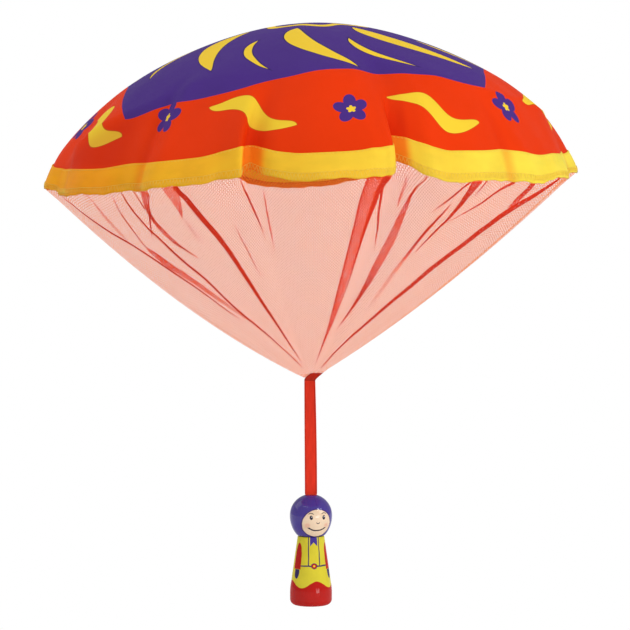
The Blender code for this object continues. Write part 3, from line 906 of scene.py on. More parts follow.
def facing_place(finish, place, facing, level):
    """Places as seen from the figure's own front: across to its left, depth, and up from a level."""
    values = {"Vector": place, "Location": (0.0, 0.0, -level)}
    moved = finish.node("ShaderNodeMapping", {"vector_type": "POINT"}, values)
    turned = finish.node("ShaderNodeMapping", values={"Vector": moved, "Rotation": (0.0, 0.0, -facing)})
    return finish.split(turned)


def hand_drawn(finish, place, amount):
    return (finish.noise(place, 160.0, 1.0) - 0.5) * amount


def head_paint(colours, facing, level):
    """A hood with a wide opening, and a plain doll's face in it."""
    finish, place = painted_wood("head_paint", 0.8)
    x, y, z = facing_place(finish, place, facing, level)
    x, z = x + hand_drawn(finish, place, 0.0010), z + hand_drawn(finish, place, 0.0008)

    def spot(across, up, wide, high):
        """Distance from an oval's edge, roughly in metres."""
        return (distance((x - across) / wide, (z - up) / high) - 1.0) * min(wide, high)

    def pair(across, up, *size, shape=spot):
        """The same shape on the left and right."""
        return shape(across, up, *size).also(shape(-across, up, *size))

    def arc(across, up, radius, thick):
        """Distance from the edge of a thin ring."""
        return abs(distance(x - across, z - up) - radius) - thick

    front = y.steps(0.0, -0.002)
    opening = spot(0.0, -0.0056, 0.0136, 0.0128)
    shade = finish.mix((opening - 0.0008).inside() * front, colours.violet_paint, HOOD_LINE)
    shade = finish.mix(opening.inside() * front, shade, colours.skin_paint)
    cheeks = pair(0.0094, -0.0076, 0.0026, 0.0023)
    shade = finish.mix(cheeks.steps(0.0008, -0.0014) * front * 0.4, shade, (0.90, 0.30, 0.20))
    eyes = pair(0.0062, -0.0002, 0.0015, 0.0021)
    brows = pair(0.0062, 0.0012, 0.0029, 0.00030, shape=arc)
    high = (z - 0.0030).steps(-0.0002, 0.0002)
    nose = arc(0.0004, -0.0044, 0.0014, 0.00036)
    under = (z + 0.0046).steps(0.0002, -0.0002)
    smile = arc(0.0, 0.0006, 0.0132, 0.00062)
    low = (z + 0.0096).steps(0.0003, -0.0003)
    lines = eyes.inside().either(brows.inside(0.00015) * high).either(nose.inside(0.00015) * under)
    lines = lines.either(smile.inside(0.00015) * low)
    shade = finish.mix(lines * front, shade, colours.dark_paint)
    glints = spot(0.0066, 0.0005, 0.00045, 0.00052).also(spot(-0.0058, 0.0005, 0.00045, 0.00052))
    shade = finish.mix(glints.inside(0.0001) * front, shade, (0.9, 0.9, 0.9))
    seam = abs(x) - 0.00020
    above = (z - 0.0090).steps(-0.0004, 0.0004)
    shade = finish.mix(seam.inside(0.0001) * above * 0.6, shade, HOOD_LINE)
    uneven = finish.noise(place, 90.0, 2.0)
    finish.feed(Base_Color=finish.tinted(shade, uneven, 0.96, 1.03))
    return finish.material


def body_paint(colours, facing, level):
    """A yellow suit with sleeves, gloves, neckerchief, straps and a wavy red lower edge, at heights above the base."""
    finish, place = painted_wood("body_paint", 0.35)
    x, y, z = facing_place(finish, place, facing, level)
    wobble = hand_drawn(finish, place, 0.0010)
    turn = finish.bearing(x, -y)
    round_it = turn * 0.0165 + wobble
    high = z + wobble
    wave = ((turn + 0.29) * 4.0).sine() * 0.0032 + 0.0210
    shade = finish.mix((high - wave).inside(0.0003), colours.yellow_paint, colours.red_paint)
    side = abs(round_it) - 0.0181

    def strip(across, lean, half_wide):
        """Distance from the edge of a strip that slants up from the belt."""
        return abs(round_it - across - over_belt * lean) - half_wide

    def rounded_to(width, end, reach):
        """A width that is full on one side of a level and closes in a round end beyond it."""
        past = ((high - end) / reach).either(0.0)
        return (1.0 - past * past).either(0.0).root() * width

    sleeve = (abs(side) - rounded_to(0.0048, 0.0470, 0.0127)).either(0.0351 - high)
    glove = (abs(side + 0.0005) - rounded_to(0.0029, 0.0320, -0.0060)).either(high - 0.0349)
    shade = finish.mix(glove.inside(), shade, GLOVE_SHADE)
    shade = finish.mix(sleeve.inside(), shade, colours.red_paint)
    over_belt = high - 0.0385
    above_belt = over_belt.steps(-0.0002, 0.0002)
    straps = strip(0.0056, 0.02, 0.00055).also(strip(-0.0056, -0.02, 0.00055)).inside() * above_belt
    belt = (abs(over_belt) - 0.00060).inside() * (abs(round_it) - 0.0140).inside()
    harness = straps.either(belt) * sleeve.steps(-0.0003, 0.0003)
    shade = finish.mix(harness, shade, STRAP_SHADE)
    buckle_wide, buckle_high = 0.0030, 0.0028
    buckle = (distance(round_it / buckle_wide, over_belt / buckle_high) - 1.0) * buckle_high
    shade = finish.mix(buckle.inside(), shade, STRAP_SHADE)
    shade = finish.mix((buckle + 0.0006).inside(), shade, colours.red_paint)
    shade = finish.mix((buckle + 0.0018).inside(), shade, colours.yellow_print)
    kerchief = (abs(round_it) - 0.0043).either((0.0604 - abs(round_it) * 0.85 - high) * 0.76)
    shade = finish.mix(kerchief.inside(), shade, colours.violet_paint)
    uneven = finish.noise(place, 90.0, 2.0)
    finish.feed(Base_Color=finish.tinted(shade, uneven, 0.96, 1.03))
    return finish.material


def pin_finish(colours):
    """Bare dowel, with grain along it."""
    finish = Finish("dowel_wood", 0.62)
    grain = finish.stretched_noise(finish.place(), (60.0, 900.0, 900.0), 3.0)
    finish.feed(Base_Color=finish.tinted(colours.pin_wood, grain, 0.8, 1.1), Normal=finish.bump(grain, 0.3, 0.0002))
    return finish.material


# Operators


class PARACHUTE_OT_canopy(bpy.types.Operator):
    """Add the printed cloth of the canopy"""

    bl_idname = "parachute.canopy"
    bl_label = "Canopy cloth"

    UNDER_TAPE, RING_SPREAD_POWER = 0.010, 1.25

    def execute(self, context):
        scene = context.scene
        sizes, cloth = scene.parachute_canopy, Cloth(scene.parachute_canopy)
        angles = column_angles(sizes.columns)
        edge, power = cloth.share_up(sizes.band_width - self.UNDER_TAPE), self.RING_SPREAD_POWER
        shares = [edge * (1.0 - (1.0 - r / sizes.rings) ** power) for r in range(1, sizes.rings + 1)]
        rows = [[cloth.point(share, angle) for angle in angles] for share in shares]
        radii = [share * sizes.flat_radius for share in shares]
        flat = [(radius * math.cos(angle), radius * math.sin(angle)) for radius in radii for angle in angles]
        verts, faces = lattice(rows)
        top = len(verts)
        verts.append(cloth.point(0.0, 0.0))
        flat.append((0.0, 0.0))
        faces += [(top, i, (i + 1) % len(angles)) for i in range(len(angles))]
        finishes = [canopy_print(scene.parachute_colours), cloth_reverse(scene.parachute_colours)]
        piece = new_piece("canopy_sheet", verts, faces, finishes)
        set_uv(piece, "cloth_flat", flat)
        # Painted shade for the print, from how deep each place lies in a fold or under the left ridge.
        set_values(piece, "recess", [cloth.recess(share, angle) for share in shares for angle in angles] + [0.0])
        wall = piece.modifiers.new("cloth_thickness", "SOLIDIFY")
        wall.thickness = sizes.thickness
        wall.offset = -1.0
        wall.material_offset = 1
        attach(piece, "canopy")
        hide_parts("canopy_cloth")
        return {"FINISHED"}


class PARACHUTE_OT_hem(bpy.types.Operator):
    """Add the folded hem tape and its stitches"""

    bl_idname = "parachute.hem"
    bl_label = "Hem tape"

    TAPE_OFFSET, EDGE_ROUND, TAPE_COLUMNS = 0.0009, 0.0011, 900
    INNER_TOP, ALLOWANCE = 0.024, 0.0058
    THREAD_PROUD, NEEDLE_THREAD, LOOP_THREAD, SEAM_THREAD = 0.00035, 0.00024, 0.00017, 0.00020
    NEEDLE_LEVEL, LOOP_TOP, LOOP_MIDDLE, LOOP_FOOT = 0.0064, 0.0062, 0.0030, -0.0006
    SEAM_DOWN, SEAM_PITCH, SEAM_RISE = 0.0019, 0.0031, 0.00022
    # The length of the hem and of the seam, as shares of the flat sheet's edge
    HEM_SHARE, SEAM_SHARE = 0.81, 0.8

    def execute(self, context):
        scene = context.scene
        self.sizes, self.cloth = scene.parachute_canopy, Cloth(scene.parachute_canopy)
        colours = scene.parachute_colours
        finishes = [tape_finish("hem_tape", colours.tape, colours.tape_shaded, self.sizes.flat_radius)]
        finishes.append(tape_finish("hem_reverse", colours.tape_reverse, colours.tape_reverse, self.sizes.flat_radius))
        tape = self.tape(finishes)
        thread = thread_finish("hem_thread", colours.thread)
        overlock = self.overlock(thread)
        seam = self.seam(thread)
        for piece in (tape, overlock, seam):
            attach(piece, "canopy")
        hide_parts("hem_band")
        return {"FINISHED"}

    def pucker(self, up, angle):
        """Small swells of the tape between its stitches, stronger towards its lower edge."""
        along = self.sizes.flat_radius * angle
        wave = math.sin(along / 0.0021 + 2.0 * math.sin(along / 0.031)) * 0.6 + math.sin(along / 0.0047 + 1.0)
        return wave * (0.00010 + 0.00022 * fade(self.sizes.band_width - up, 0.0, 0.02))

    def tape_point(self, up, angle, outward):
        """A point at a height up from the hem's edge and a distance outward from the cloth."""
        share = self.cloth.share_up(up)
        uneven = 0.0006 * math.sin(31.0 * angle + 1.0) + 0.0004 * math.sin(83.0 * angle)
        point = self.cloth.point(min(share, 1.0), angle) + self.cloth.normal(min(share, 1.0), angle) * outward
        edge = fade(self.sizes.band_width - up, 0.016, 0.026)
        outward += math.copysign(self.pucker(up, angle), outward)
        point.z -= max(share - 1.0, 0.0) * self.sizes.flat_radius + uneven * edge
        return point

    def tape(self, finishes):
        width, inner, allowance = self.sizes.band_width, self.INNER_TOP, self.ALLOWANCE
        angles = column_angles(self.TAPE_COLUMNS)
        path = [(width - 0.0002, 0.0003), (width - 0.0006, self.TAPE_OFFSET)]
        path += [(width - 0.0006 - (width - 0.002) * k / 10, self.TAPE_OFFSET) for k in range(1, 11)]
        for k in range(1, 6):
            turn = math.pi * k / 6
            path.append((0.0009 - self.EDGE_ROUND * math.sin(turn), self.TAPE_OFFSET * math.cos(turn)))
        path += [(0.0014 + (allowance - 0.0014) * k / 3, -self.TAPE_OFFSET - 0.0004) for k in range(4)]
        path += [(allowance + 0.0002 + (inner - allowance) * k / 7, -self.TAPE_OFFSET) for k in range(8)]
        path.append((inner + 0.0004, -0.0006))
        rows = []
        for up, outward in path:
            rows.append([self.tape_point(up, a, outward) for a in angles])
        verts, faces = lattice(rows)
        piece = new_piece("hem_tape", verts, faces, finishes)
        reach = [0.0]
        for before, after in zip(path, path[1:]):
            reach.append(reach[-1] + math.dist(before, after))
        set_uv(piece, "tape_flat", [(self.sizes.flat_radius * a, r) for r in reach for a in angles])
        # Painted shade for the tape, from how deep the hem lies in each fold and a little under the left ridge.
        recess = [self.cloth.recess(1.0, a) for a in angles]
        set_values(piece, "recess", [r for _ in reach for r in recess])
        turned = [i for i, (up, outward) in enumerate(path) if outward < -0.0004 and up < allowance + 0.0001]
        for polygon in piece.data.polygons:
            if turned[0] <= min(polygon.vertices) // len(angles) <= turned[-1]:
                polygon.material_index = 1
        return piece

    def overlock(self, thread):
        """Needle line and looped threads over the lower edge."""
        count = round(TURN * self.sizes.flat_radius * self.HEM_SHARE / self.sizes.stitch_pitch)
        verts, faces = [], []
        proud = self.TAPE_OFFSET + self.THREAD_PROUD
        path = (
            (self.LOOP_TOP, 0.0, proud), (self.LOOP_MIDDLE, 0.5, proud), (self.LOOP_FOOT, 1.0, self.TAPE_OFFSET * 0.6),
            (self.LOOP_MIDDLE, 1.5, proud), (self.LOOP_TOP, 2.0, proud),
        )  # fmt: skip
        for index in range(count):
            start, half = TURN * index / count, TURN / count / 2.0
            needle = [self.tape_point(self.NEEDLE_LEVEL, start + half * t, proud) for t in (0.15, 1.0, 1.85)]
            tube(verts, faces, needle, self.NEEDLE_THREAD, 5)
            loop = [self.tape_point(up, start + half * t, outward) for up, t, outward in path]
            tube(verts, faces, loop, self.LOOP_THREAD, 4)
        return new_piece("overlock_stitches", verts, faces, [thread])

    def seam(self, thread):
        """The straight seam that holds the tape's upper edge."""
        count = round(TURN * self.sizes.flat_radius * self.SEAM_SHARE / self.SEAM_PITCH)
        level = self.sizes.band_width - self.SEAM_DOWN
        verts, faces = [], []
        for index in range(count):
            start, step = TURN * index / count, TURN / count
            points = [
                self.tape_point(level, start + step * t, self.TAPE_OFFSET + rise)
                for t, rise in ((0.08, 0.0), (0.42, self.SEAM_RISE), (0.76, 0.0))
            ]
            tube(verts, faces, points, self.SEAM_THREAD, 4)
        return new_piece("tape_seam", verts, faces, [thread])


# Folds of the net, where it lies doubled, read from the photo. Each is a list of places along the fold: share
# of the way from hem to tip, angle in degrees, width in millimetres, and how dense the doubled net is there
NET_FOLDS = (
    (
        (0.008, 196.8, 3.9, 0.15), (0.079, 206.8, 3.6, 0.5), (0.171, 213.2, 3.2, 0.6), (0.221, 216.6, 2.9, 0.6),
        (0.275, 219.1, 2.6, 0.6), (0.358, 221.8, 2.2, 0.5), (0.458, 225.1, 2, 0.45), (0.567, 228.7, 1.6, 0.3),
        (0.629, 232, 1.2, 0.1),
    ),
    (
        (0.225, 220.5, 1.6, 0.15), (0.242, 220.8, 5.1, 0.19), (0.271, 221.4, 7.2, 0.21), (0.317, 222.4, 7.9, 0.2),
        (0.354, 224, 7.8, 0.19), (0.404, 226.1, 7.6, 0.17), (0.475, 228.9, 7.2, 0.14), (0.537, 232.1, 6.2, 0.1),
        (0.608, 235.5, 4, 0.06),
    ),
    (
        (0.008, 223.8, 0.8, 0.15), (0.067, 222.4, 1, 0.4), (0.154, 221.3, 1.2, 0.4), (0.229, 220.5, 1.2, 0.35),
    ),
    (
        (0.021, 217.2, 1.6, 0.1), (0.087, 216.4, 4.7, 0.08), (0.154, 216, 4.8, 0.06), (0.196, 216, 2.3, 0.05),
    ),
    (
        (0, 226.5, 1, 0.4), (0.037, 226.2, 1.4, 0.6), (0.071, 226.1, 1.8, 0.7), (0.146, 226.3, 2.1, 0.75),
        (0.188, 227.1, 2.4, 0.75), (0.267, 228.3, 2.9, 0.8), (0.329, 229.9, 3.4, 0.8), (0.388, 232.1, 3.6, 0.8),
        (0.517, 234.6, 3.2, 0.75), (0.608, 237.1, 2.5, 0.7), (0.696, 239.8, 1.8, 0.65), (0.804, 243.3, 1.4, 0.6),
        (0.917, 248, 1, 0.4), (0.965, 250, 0.6, 0.25),
    ),
    (
        (0, 234.2, 14, 0.2), (0.025, 232.7, 10, 0.2), (0.054, 231.5, 6.7, 0.25), (0.083, 230.6, 4.6, 0.4),
        (0.1, 230.2, 4.1, 0.55), (0.125, 230.1, 5, 0.3), (0.154, 230.3, 6.3, 0.25), (0.183, 230.8, 6.6, 0.2),
        (0.217, 231.8, 5.4, 0.3), (0.237, 233.1, 3.5, 0.4), (0.263, 234.8, 2.1, 0.3), (0.292, 236.5, 1.3, 0.15),
    ),
    (
        (0.092, 230, 2.1, 0.5), (0.121, 228.6, 1.9, 0.3), (0.154, 226.9, 1.4, 0.4), (0.196, 225, 0.6, 0.15),
    ),
    (
        (0.004, 230, 1.1, 0.15), (0.033, 230.1, 1.4, 0.4), (0.071, 230, 1.7, 0.5),
    ),
    (
        (0.008, 241, 14, 0.14), (0.029, 240.9, 11.7, 0.14), (0.05, 240.7, 9.1, 0.15), (0.075, 240.5, 6.1, 0.17),
        (0.096, 240.2, 3.3, 0.25), (0.121, 239.8, 0.8, 0.2),
    ),
    (
        (0.125, 240, 1.7, 0.05), (0.158, 240.2, 3.4, 0.05), (0.2, 240.5, 3.4, 0.05), (0.229, 240.8, 1.7, 0.04),
    ),
    (
        (0.008, 242.2, 5, 0.6), (0.05, 243.2, 5.6, 0.6), (0.108, 244.1, 5.9, 0.6), (0.154, 244.9, 5.8, 0.6),
        (0.204, 245.9, 5.3, 0.6), (0.279, 246.9, 4.6, 0.6), (0.404, 248, 3.7, 0.6), (0.542, 249.1, 2.8, 0.6),
        (0.662, 250.4, 2, 0.6), (0.796, 251.9, 1.3, 0.55), (0.887, 253.5, 0.7, 0.3), (0.945, 254.5, 0.5, 0.2),
    ),
    (
        (0.013, 255.5, 1.7, 0.4), (0.067, 256.1, 1.6, 0.5), (0.113, 256.6, 1.6, 0.35), (0.15, 257, 1.5, 0.4),
        (0.188, 257.4, 1, 0.4), (0.258, 257.8, 0.4, 0.15),
    ),
    (
        (0.163, 251.2, 0.5, 0.1), (0.208, 251.3, 0.8, 0.3), (0.279, 251.8, 0.8, 0.35), (0.367, 252.4, 0.8, 0.3),
        (0.425, 253, 0.5, 0.1),
    ),
    (
        (0.054, 260.2, 0.7, 0.2), (0.146, 260, 1.4, 0.2), (0.217, 259.9, 1.4, 0.2), (0.308, 259.8, 0.7, 0.1),
    ),
    (
        (0.008, 282, 16.7, 0.17), (0.054, 282.3, 18.2, 0.17), (0.092, 282.2, 18.1, 0.17), (0.129, 282, 16.5, 0.17),
        (0.171, 281.9, 14.8, 0.17), (0.212, 281.7, 13.5, 0.17), (0.254, 281.6, 12.4, 0.17), (0.3, 281.5, 11.4, 0.17),
        (0.346, 281.4, 10.5, 0.17), (0.392, 281.3, 9.6, 0.17), (0.438, 281.2, 8.8, 0.18), (0.487, 281.1, 7.7, 0.19),
        (0.542, 281, 6.5, 0.2), (0.596, 280.9, 5.3, 0.22), (0.654, 280.8, 4.2, 0.24), (0.713, 280.6, 3.1, 0.27),
        (0.775, 280.1, 2.1, 0.32), (0.846, 279.5, 1.3, 0.3), (0.917, 278.8, 0.7, 0.2), (0.95, 278.5, 0.5, 0.15),
    ),
    (
        (0.008, 284, 5.4, 0.6), (0.067, 284.4, 7.8, 0.6), (0.113, 284.2, 8, 0.65), (0.158, 283.8, 6.3, 0.65),
        (0.208, 283.5, 4.5, 0.6), (0.275, 283.4, 3, 0.5), (0.342, 283.4, 2.2, 0.4), (0.429, 283.5, 1.8, 0.4),
        (0.517, 283.2, 1.5, 0.35), (0.6, 282.6, 1.2, 0.3), (0.704, 282, 0.9, 0.2),
    ),
    (
        (0.013, 280.2, 1.1, 0.4), (0.087, 280.1, 1.1, 0.4), (0.167, 280.1, 1, 0.4), (0.25, 280, 1, 0.4),
        (0.342, 279.9, 1.1, 0.4), (0.438, 279.9, 1.1, 0.4), (0.542, 279.8, 1, 0.4), (0.65, 279.8, 0.9, 0.3),
    ),
    (
        (0.008, 285, 4.6, 0.6), (0.05, 285.6, 5, 0.6), (0.104, 286.7, 4.5, 0.55), (0.18, 288.5, 3.1, 0.5),
        (0.23, 290.2, 1.8, 0.45), (0.29, 291.4, 1, 0.2), (0.33, 292.2, 0.5, 0.08),
    ),
    (
        (0.037, 293.5, 3, 0.08), (0.062, 293.5, 2.6, 0.1), (0.1, 293.5, 2.1, 0.15), (0.129, 293.6, 1.4, 0.2),
        (0.15, 293.8, 0.5, 0.12),
    ),
    (
        (0.013, 296.5, 0.9, 0.3), (0.042, 296, 1.1, 0.35), (0.075, 295.6, 1.7, 0.45), (0.108, 295.4, 2.9, 0.3),
        (0.146, 295.4, 4.3, 0.22), (0.188, 295.4, 5.6, 0.2), (0.229, 295.5, 6.6, 0.17), (0.271, 295.5, 7.1, 0.17),
        (0.317, 295.4, 7.2, 0.17), (0.362, 295.2, 6.9, 0.18), (0.412, 295, 6.2, 0.22), (0.462, 294.9, 5, 0.28),
        (0.512, 294.6, 3.8, 0.4), (0.567, 294.2, 2.7, 0.45), (0.621, 293.5, 1.8, 0.45), (0.679, 292.3, 1.3, 0.35),
        (0.738, 290.5, 0.9, 0.12),
    ),
    (
        (0, 307, 12.5, 0.3), (0.033, 307.1, 9.2, 0.35), (0.075, 307.1, 6.5, 0.45), (0.117, 306.8, 4.7, 0.5),
        (0.158, 306.3, 3.4, 0.5), (0.188, 305.6, 2.6, 0.5), (0.229, 304.9, 2.1, 0.5), (0.263, 304.3, 1.6, 0.35),
        (0.304, 303.8, 1, 0.12),
    ),
    (
        (0.092, 304.5, 1, 0.2), (0.121, 304.2, 1.8, 0.4), (0.154, 303.7, 2.5, 0.55), (0.188, 303.1, 2.9, 0.6),
        (0.237, 302.5, 3, 0.55), (0.279, 302.1, 3, 0.4), (0.321, 301.8, 3.2, 0.2), (0.362, 301.4, 3.8, 0.1),
        (0.442, 301.1, 4.1, 0.06), (0.533, 300.9, 3.6, 0.04), (0.613, 300.8, 2.4, 0.02),
    ),
    (
        (0, 305.8, 2.4, 0.5), (0.025, 304.9, 2.6, 0.45), (0.058, 304, 2.4, 0.45), (0.083, 303.1, 1.8, 0.35),
        (0.108, 302.1, 1.2, 0.2), (0.133, 301.2, 0.7, 0.08),
    ),
    (
        (0, 309.2, 2.7, 0.35), (0.033, 309.2, 2, 0.3), (0.062, 309.2, 1, 0.15),
    ),
    (
        (0, 318.2, 3.7, 0.4), (0.017, 317.1, 3.6, 0.45), (0.033, 315.7, 3.5, 0.45), (0.058, 314.1, 3.2, 0.45),
        (0.092, 312.6, 2.7, 0.4), (0.117, 310.8, 2.1, 0.3), (0.142, 308.9, 1.5, 0.2), (0.171, 306.8, 0.9, 0.08),
    ),
    (
        (0.004, 322.5, 7.4, 0.35), (0.025, 322.9, 8.1, 0.35), (0.058, 323.1, 8.5, 0.3), (0.079, 323.1, 7.5, 0.25),
        (0.104, 322.8, 4.8, 0.2),
    ),
    (
        (0.017, 334.5, 9.3, 0.5), (0.025, 332.6, 10.1, 0.5), (0.046, 330.3, 10.4, 0.5), (0.067, 327.9, 10.2, 0.5),
        (0.087, 325.7, 10, 0.5), (0.113, 324, 9.5, 0.55), (0.138, 322.7, 8.6, 0.55), (0.179, 321.6, 7.9, 0.55),
        (0.208, 320.6, 7.6, 0.55), (0.246, 319.7, 7.6, 0.5), (0.283, 318.6, 7.9, 0.48), (0.317, 317.2, 8.3, 0.45),
        (0.354, 315.9, 8.3, 0.45), (0.392, 314.6, 8, 0.45), (0.433, 313.6, 7.4, 0.48), (0.479, 312.5, 7, 0.5),
        (0.521, 311.1, 6.6, 0.5), (0.562, 309.7, 5.9, 0.5), (0.613, 308.2, 5, 0.5), (0.662, 306.8, 3.9, 0.5),
        (0.717, 305.2, 3, 0.5), (0.771, 303.5, 2.5, 0.5), (0.833, 301.7, 2.1, 0.5), (0.879, 300.2, 1.7, 0.5),
        (0.95, 299, 1.2, 0.3), (0.985, 298.4, 0.8, 0.25),
    ),
)  # fmt: skip


class PARACHUTE_OT_net(bpy.types.Operator):
    """Add the net, from the hem to its gathered tip, and its folds"""

    bl_idname = "parachute.net"
    bl_label = "Net"

    SEAM_DEG = 90.0
    SHEET_COVER, LOW_COVER, GATHER_COVER = 0.106, 0.006, 0.03
    GATHER_SHARE, GATHER_STEPS = 0.03, (0.25, 0.5, 0.75, 1.0)
    FOLD_TURN, FOLD_STEP, FOLD_START, FOLD_FROM_HEM = math.radians(17.0), 0.009, -0.006, 0.03
    FOLD_LIFT, FOLD_ROUND, FOLD_HIGH, UNDER_LAYER = 0.0002, 0.22, 0.0010, 0.4
    THIN_DENSITY, THIN_COVER, DENSE_COVER, DENSE_RISE, EDGE_COVER = 0.17, 0.86, 0.146, 0.43, 1.25
    SOFT_SHARE, LEFT_SAG, TIP_HANG, TIP_HANG_LEFT = 0.07, 0.34, 0.0034, 0.0038
    SHEET_RIPPLE, DRAWN_IN = 0.0003, 0.002
    # The flattened seam behind the ribbon's end: its middle, its half length and half width, and its slant
    SEAM_X, SEAM_Z, SEAM_HALF, SEAM_THIN, SEAM_SLANT, SEAM_PULL = 0.0021, -0.3326, 0.0084, 0.0022, 0.0019, 0.35

    def execute(self, context):
        scene = context.scene
        self.sizes, self.cloth = scene.parachute_net, Cloth(scene.parachute_canopy)
        self.tip_level = self.cloth.hem_level() - self.sizes.drop
        self.gather_level = self.tip_level + self.sizes.gather_height
        self.hem_radius = self.cloth.profile_at(1.0)[0]
        colours, pitch = scene.parachute_colours, self.sizes.mesh_pitch
        sheet = self.sheet(net_finish("net_mesh", colours.net_thin, colours.net, pitch))
        folds = self.folds(net_finish("net_doubled", colours.net_doubled, colours.net, pitch))
        for piece in (sheet, folds):
            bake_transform(piece)
        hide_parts("net_cone", "net_gather")
        area = math.pi * self.hem_radius * math.hypot(self.hem_radius, self.sizes.drop)
        return {"FINISHED"}

    def sheet(self, finish):
        """The single layer of net, with its seam at the back."""
        seam = math.radians(self.SEAM_DEG)
        angles = sorted(a + TURN if a < seam else a for a in column_angles(self.sizes.columns))
        shares = [-0.02, -0.008] + [k / self.sizes.rows for k in range(self.sizes.rows + 1)]
        rows = [[self.net_point(share, angle, 0.0) for angle in angles] for share in shares]
        for step in self.GATHER_STEPS:
            rows.append([self.gathered(point, step) for point in rows[len(shares) - 1]])
            shares.append(1.0 + self.GATHER_SHARE * step)
        verts, faces = lattice(rows)
        piece = new_piece("net_sheet", verts, faces, [finish])
        layer, count = piece.data.uv_layers.new(name="net_flat"), len(angles)
        for polygon in piece.data.polygons:
            columns = [v % count for v in polygon.vertices]
            for loop, vertex, column in zip(polygon.loop_indices, polygon.vertices, columns):
                turned = column == 0 and max(columns) == count - 1
                angle = angles[column] + (TURN if turned else 0.0)
                layer.data[loop].uv = self.unrolled(shares[vertex // count], angle)
        set_values(piece, "cover", [cover for cover in map(self.sheet_cover, shares) for _ in angles])
        return piece

    def sheet_cover(self, share):
        """How much of the single layer its threads cover, which grows towards the gathered tip."""
        low = self.LOW_COVER * fade(share, 0.35, 0.9)
        return self.SHEET_COVER + low + self.GATHER_COVER * fade(share, 1.0, 1.0 + self.GATHER_SHARE)

    def unrolled(self, share, angle):
        """Where a place on the net lies when the cone is cut along its seam and laid flat."""
        radius = self.hem_radius * (1.0 - share) + self.sizes.gather_radius * share
        narrowing = self.hem_radius / math.hypot(self.hem_radius, self.sizes.drop)
        turned = narrowing * (angle - 1.5 * math.pi) + 0.5 * math.pi
        return radius / narrowing * math.cos(turned), radius / narrowing * math.sin(turned)

    def folds(self, finish):
        """Two more layers of net on the sheet along each fold, joined along one side."""
        verts, faces, flat, covers = [], [], [], []
        outer = [t / 2.5 - 1.0 for t in range(6)]
        c, s = math.cos(self.FOLD_TURN), math.sin(self.FOLD_TURN)
        for stations in NET_FOLDS:
            if stations[0][0] < self.FOLD_FROM_HEM:
                after = (station for station in stations if station[0] > 0.0)
                stations = ((self.FOLD_START, *stations[0][1:]), *after)
            first, last = stations[0][0], stations[-1][0]
            steps = max(4, round((last - first) / self.FOLD_STEP))
            rows, down, before = [], 0.0, None
            for k in range(steps + 1):
                share = first + (last - first) * k / steps
                degree, wide, dense = line_table(stations, share)
                angle, half = math.radians(degree), wide * MM / 2.0
                middle = self.net_point(share, angle, 0.0)
                down += (middle - before).length if before else 0.0
                before = middle
                by_share, by_angle = self.sideways(stations, share, angle)
                high = self.FOLD_LIFT + min(half * self.FOLD_ROUND, self.FOLD_HIGH)
                if dense < self.THIN_DENSITY:
                    cover = self.THIN_COVER * dense
                else:
                    cover = self.DENSE_COVER + self.DENSE_RISE * (dense - self.THIN_DENSITY)
                row = []
                for layer, ts in enumerate((outer, outer[::-1])):
                    for t in ts:
                        out = self.FOLD_LIFT + (high if layer == 0 else high * self.UNDER_LAYER) * (1.0 - t**4)
                        row.append(self.net_point(share + by_share * half * t, angle + by_angle * half * t, out))
                        unfolded = half * (t if layer == 0 else 2.0 - t)
                        flat.append((unfolded * c - down * s, unfolded * s + down * c))
                        covers.append(cover * (self.EDGE_COVER if abs(t) > 0.99 else 1.0))
                rows.append(row)
            more_verts, more_faces = lattice(rows, closed=False)
            faces += [tuple(v + len(verts) for v in face) for face in more_faces]
            verts += more_verts
        piece = new_piece("net_folds", verts, faces, [finish])
        set_uv(piece, "net_flat", flat)
        set_values(piece, "cover", covers)
        return piece

    def sideways(self, stations, share, angle):
        """How share and angle change for each metre along the net, square to the fold's path."""
        step = 0.004
        down = (self.net_point(share + step, angle, 0.0) - self.net_point(share - step, angle, 0.0)) / (2.0 * step)
        round_it = (self.net_point(share, angle + step, 0.0) - self.net_point(share, angle - step, 0.0)) / (2.0 * step)
        ahead, behind = (math.radians(line_table(stations, share + s)[0]) for s in (step, -step))
        path = down + round_it * ((ahead - behind) / (2.0 * step))
        across = down.cross(round_it).normalized().cross(path).normalized()
        dd, dr, rr = down.dot(down), down.dot(round_it), round_it.dot(round_it)
        a_down, a_round = across.dot(down), across.dot(round_it)
        whole = dd * rr - dr * dr
        return (a_down * rr - a_round * dr) / whole, (a_round * dd - a_down * dr) / whole

    def net_point(self, share, angle, out):
        if share < 0.0:
            return self.cloth.point(1.0 + share, angle) + self.cloth.normal(1.0 + share, angle) * (out * 0.1)
        hem = self.cloth.point(1.0, angle).lerp(self.cloth.soft_hem(angle), fade(share, 0.0, self.SOFT_SHARE))
        left = 0.5 - 0.5 * math.cos(angle)
        radius, hang = self.sizes.gather_radius, self.TIP_HANG + self.TIP_HANG_LEFT * left**1.5
        tip = Vector((radius * math.cos(angle), radius * math.sin(angle), self.gather_level - hang))
        full = 4.0 * share * (1.0 - share)
        point = hem.lerp(tip, share)
        point.z -= self.sizes.sag * full * (1.0 + self.LEFT_SAG * left)
        ripple = math.sin(23.0 * angle + 1.0 + 1.5 * share) + 0.7 * math.sin(41.0 * angle + 2.0)
        outward = Vector((math.cos(angle), math.sin(angle), -1.0)).normalized()
        lifted = out * min(1.0, 12.0 * share + 0.1)
        return point + outward * (lifted + self.SHEET_RIPPLE * ripple * full - self.DRAWN_IN * full)

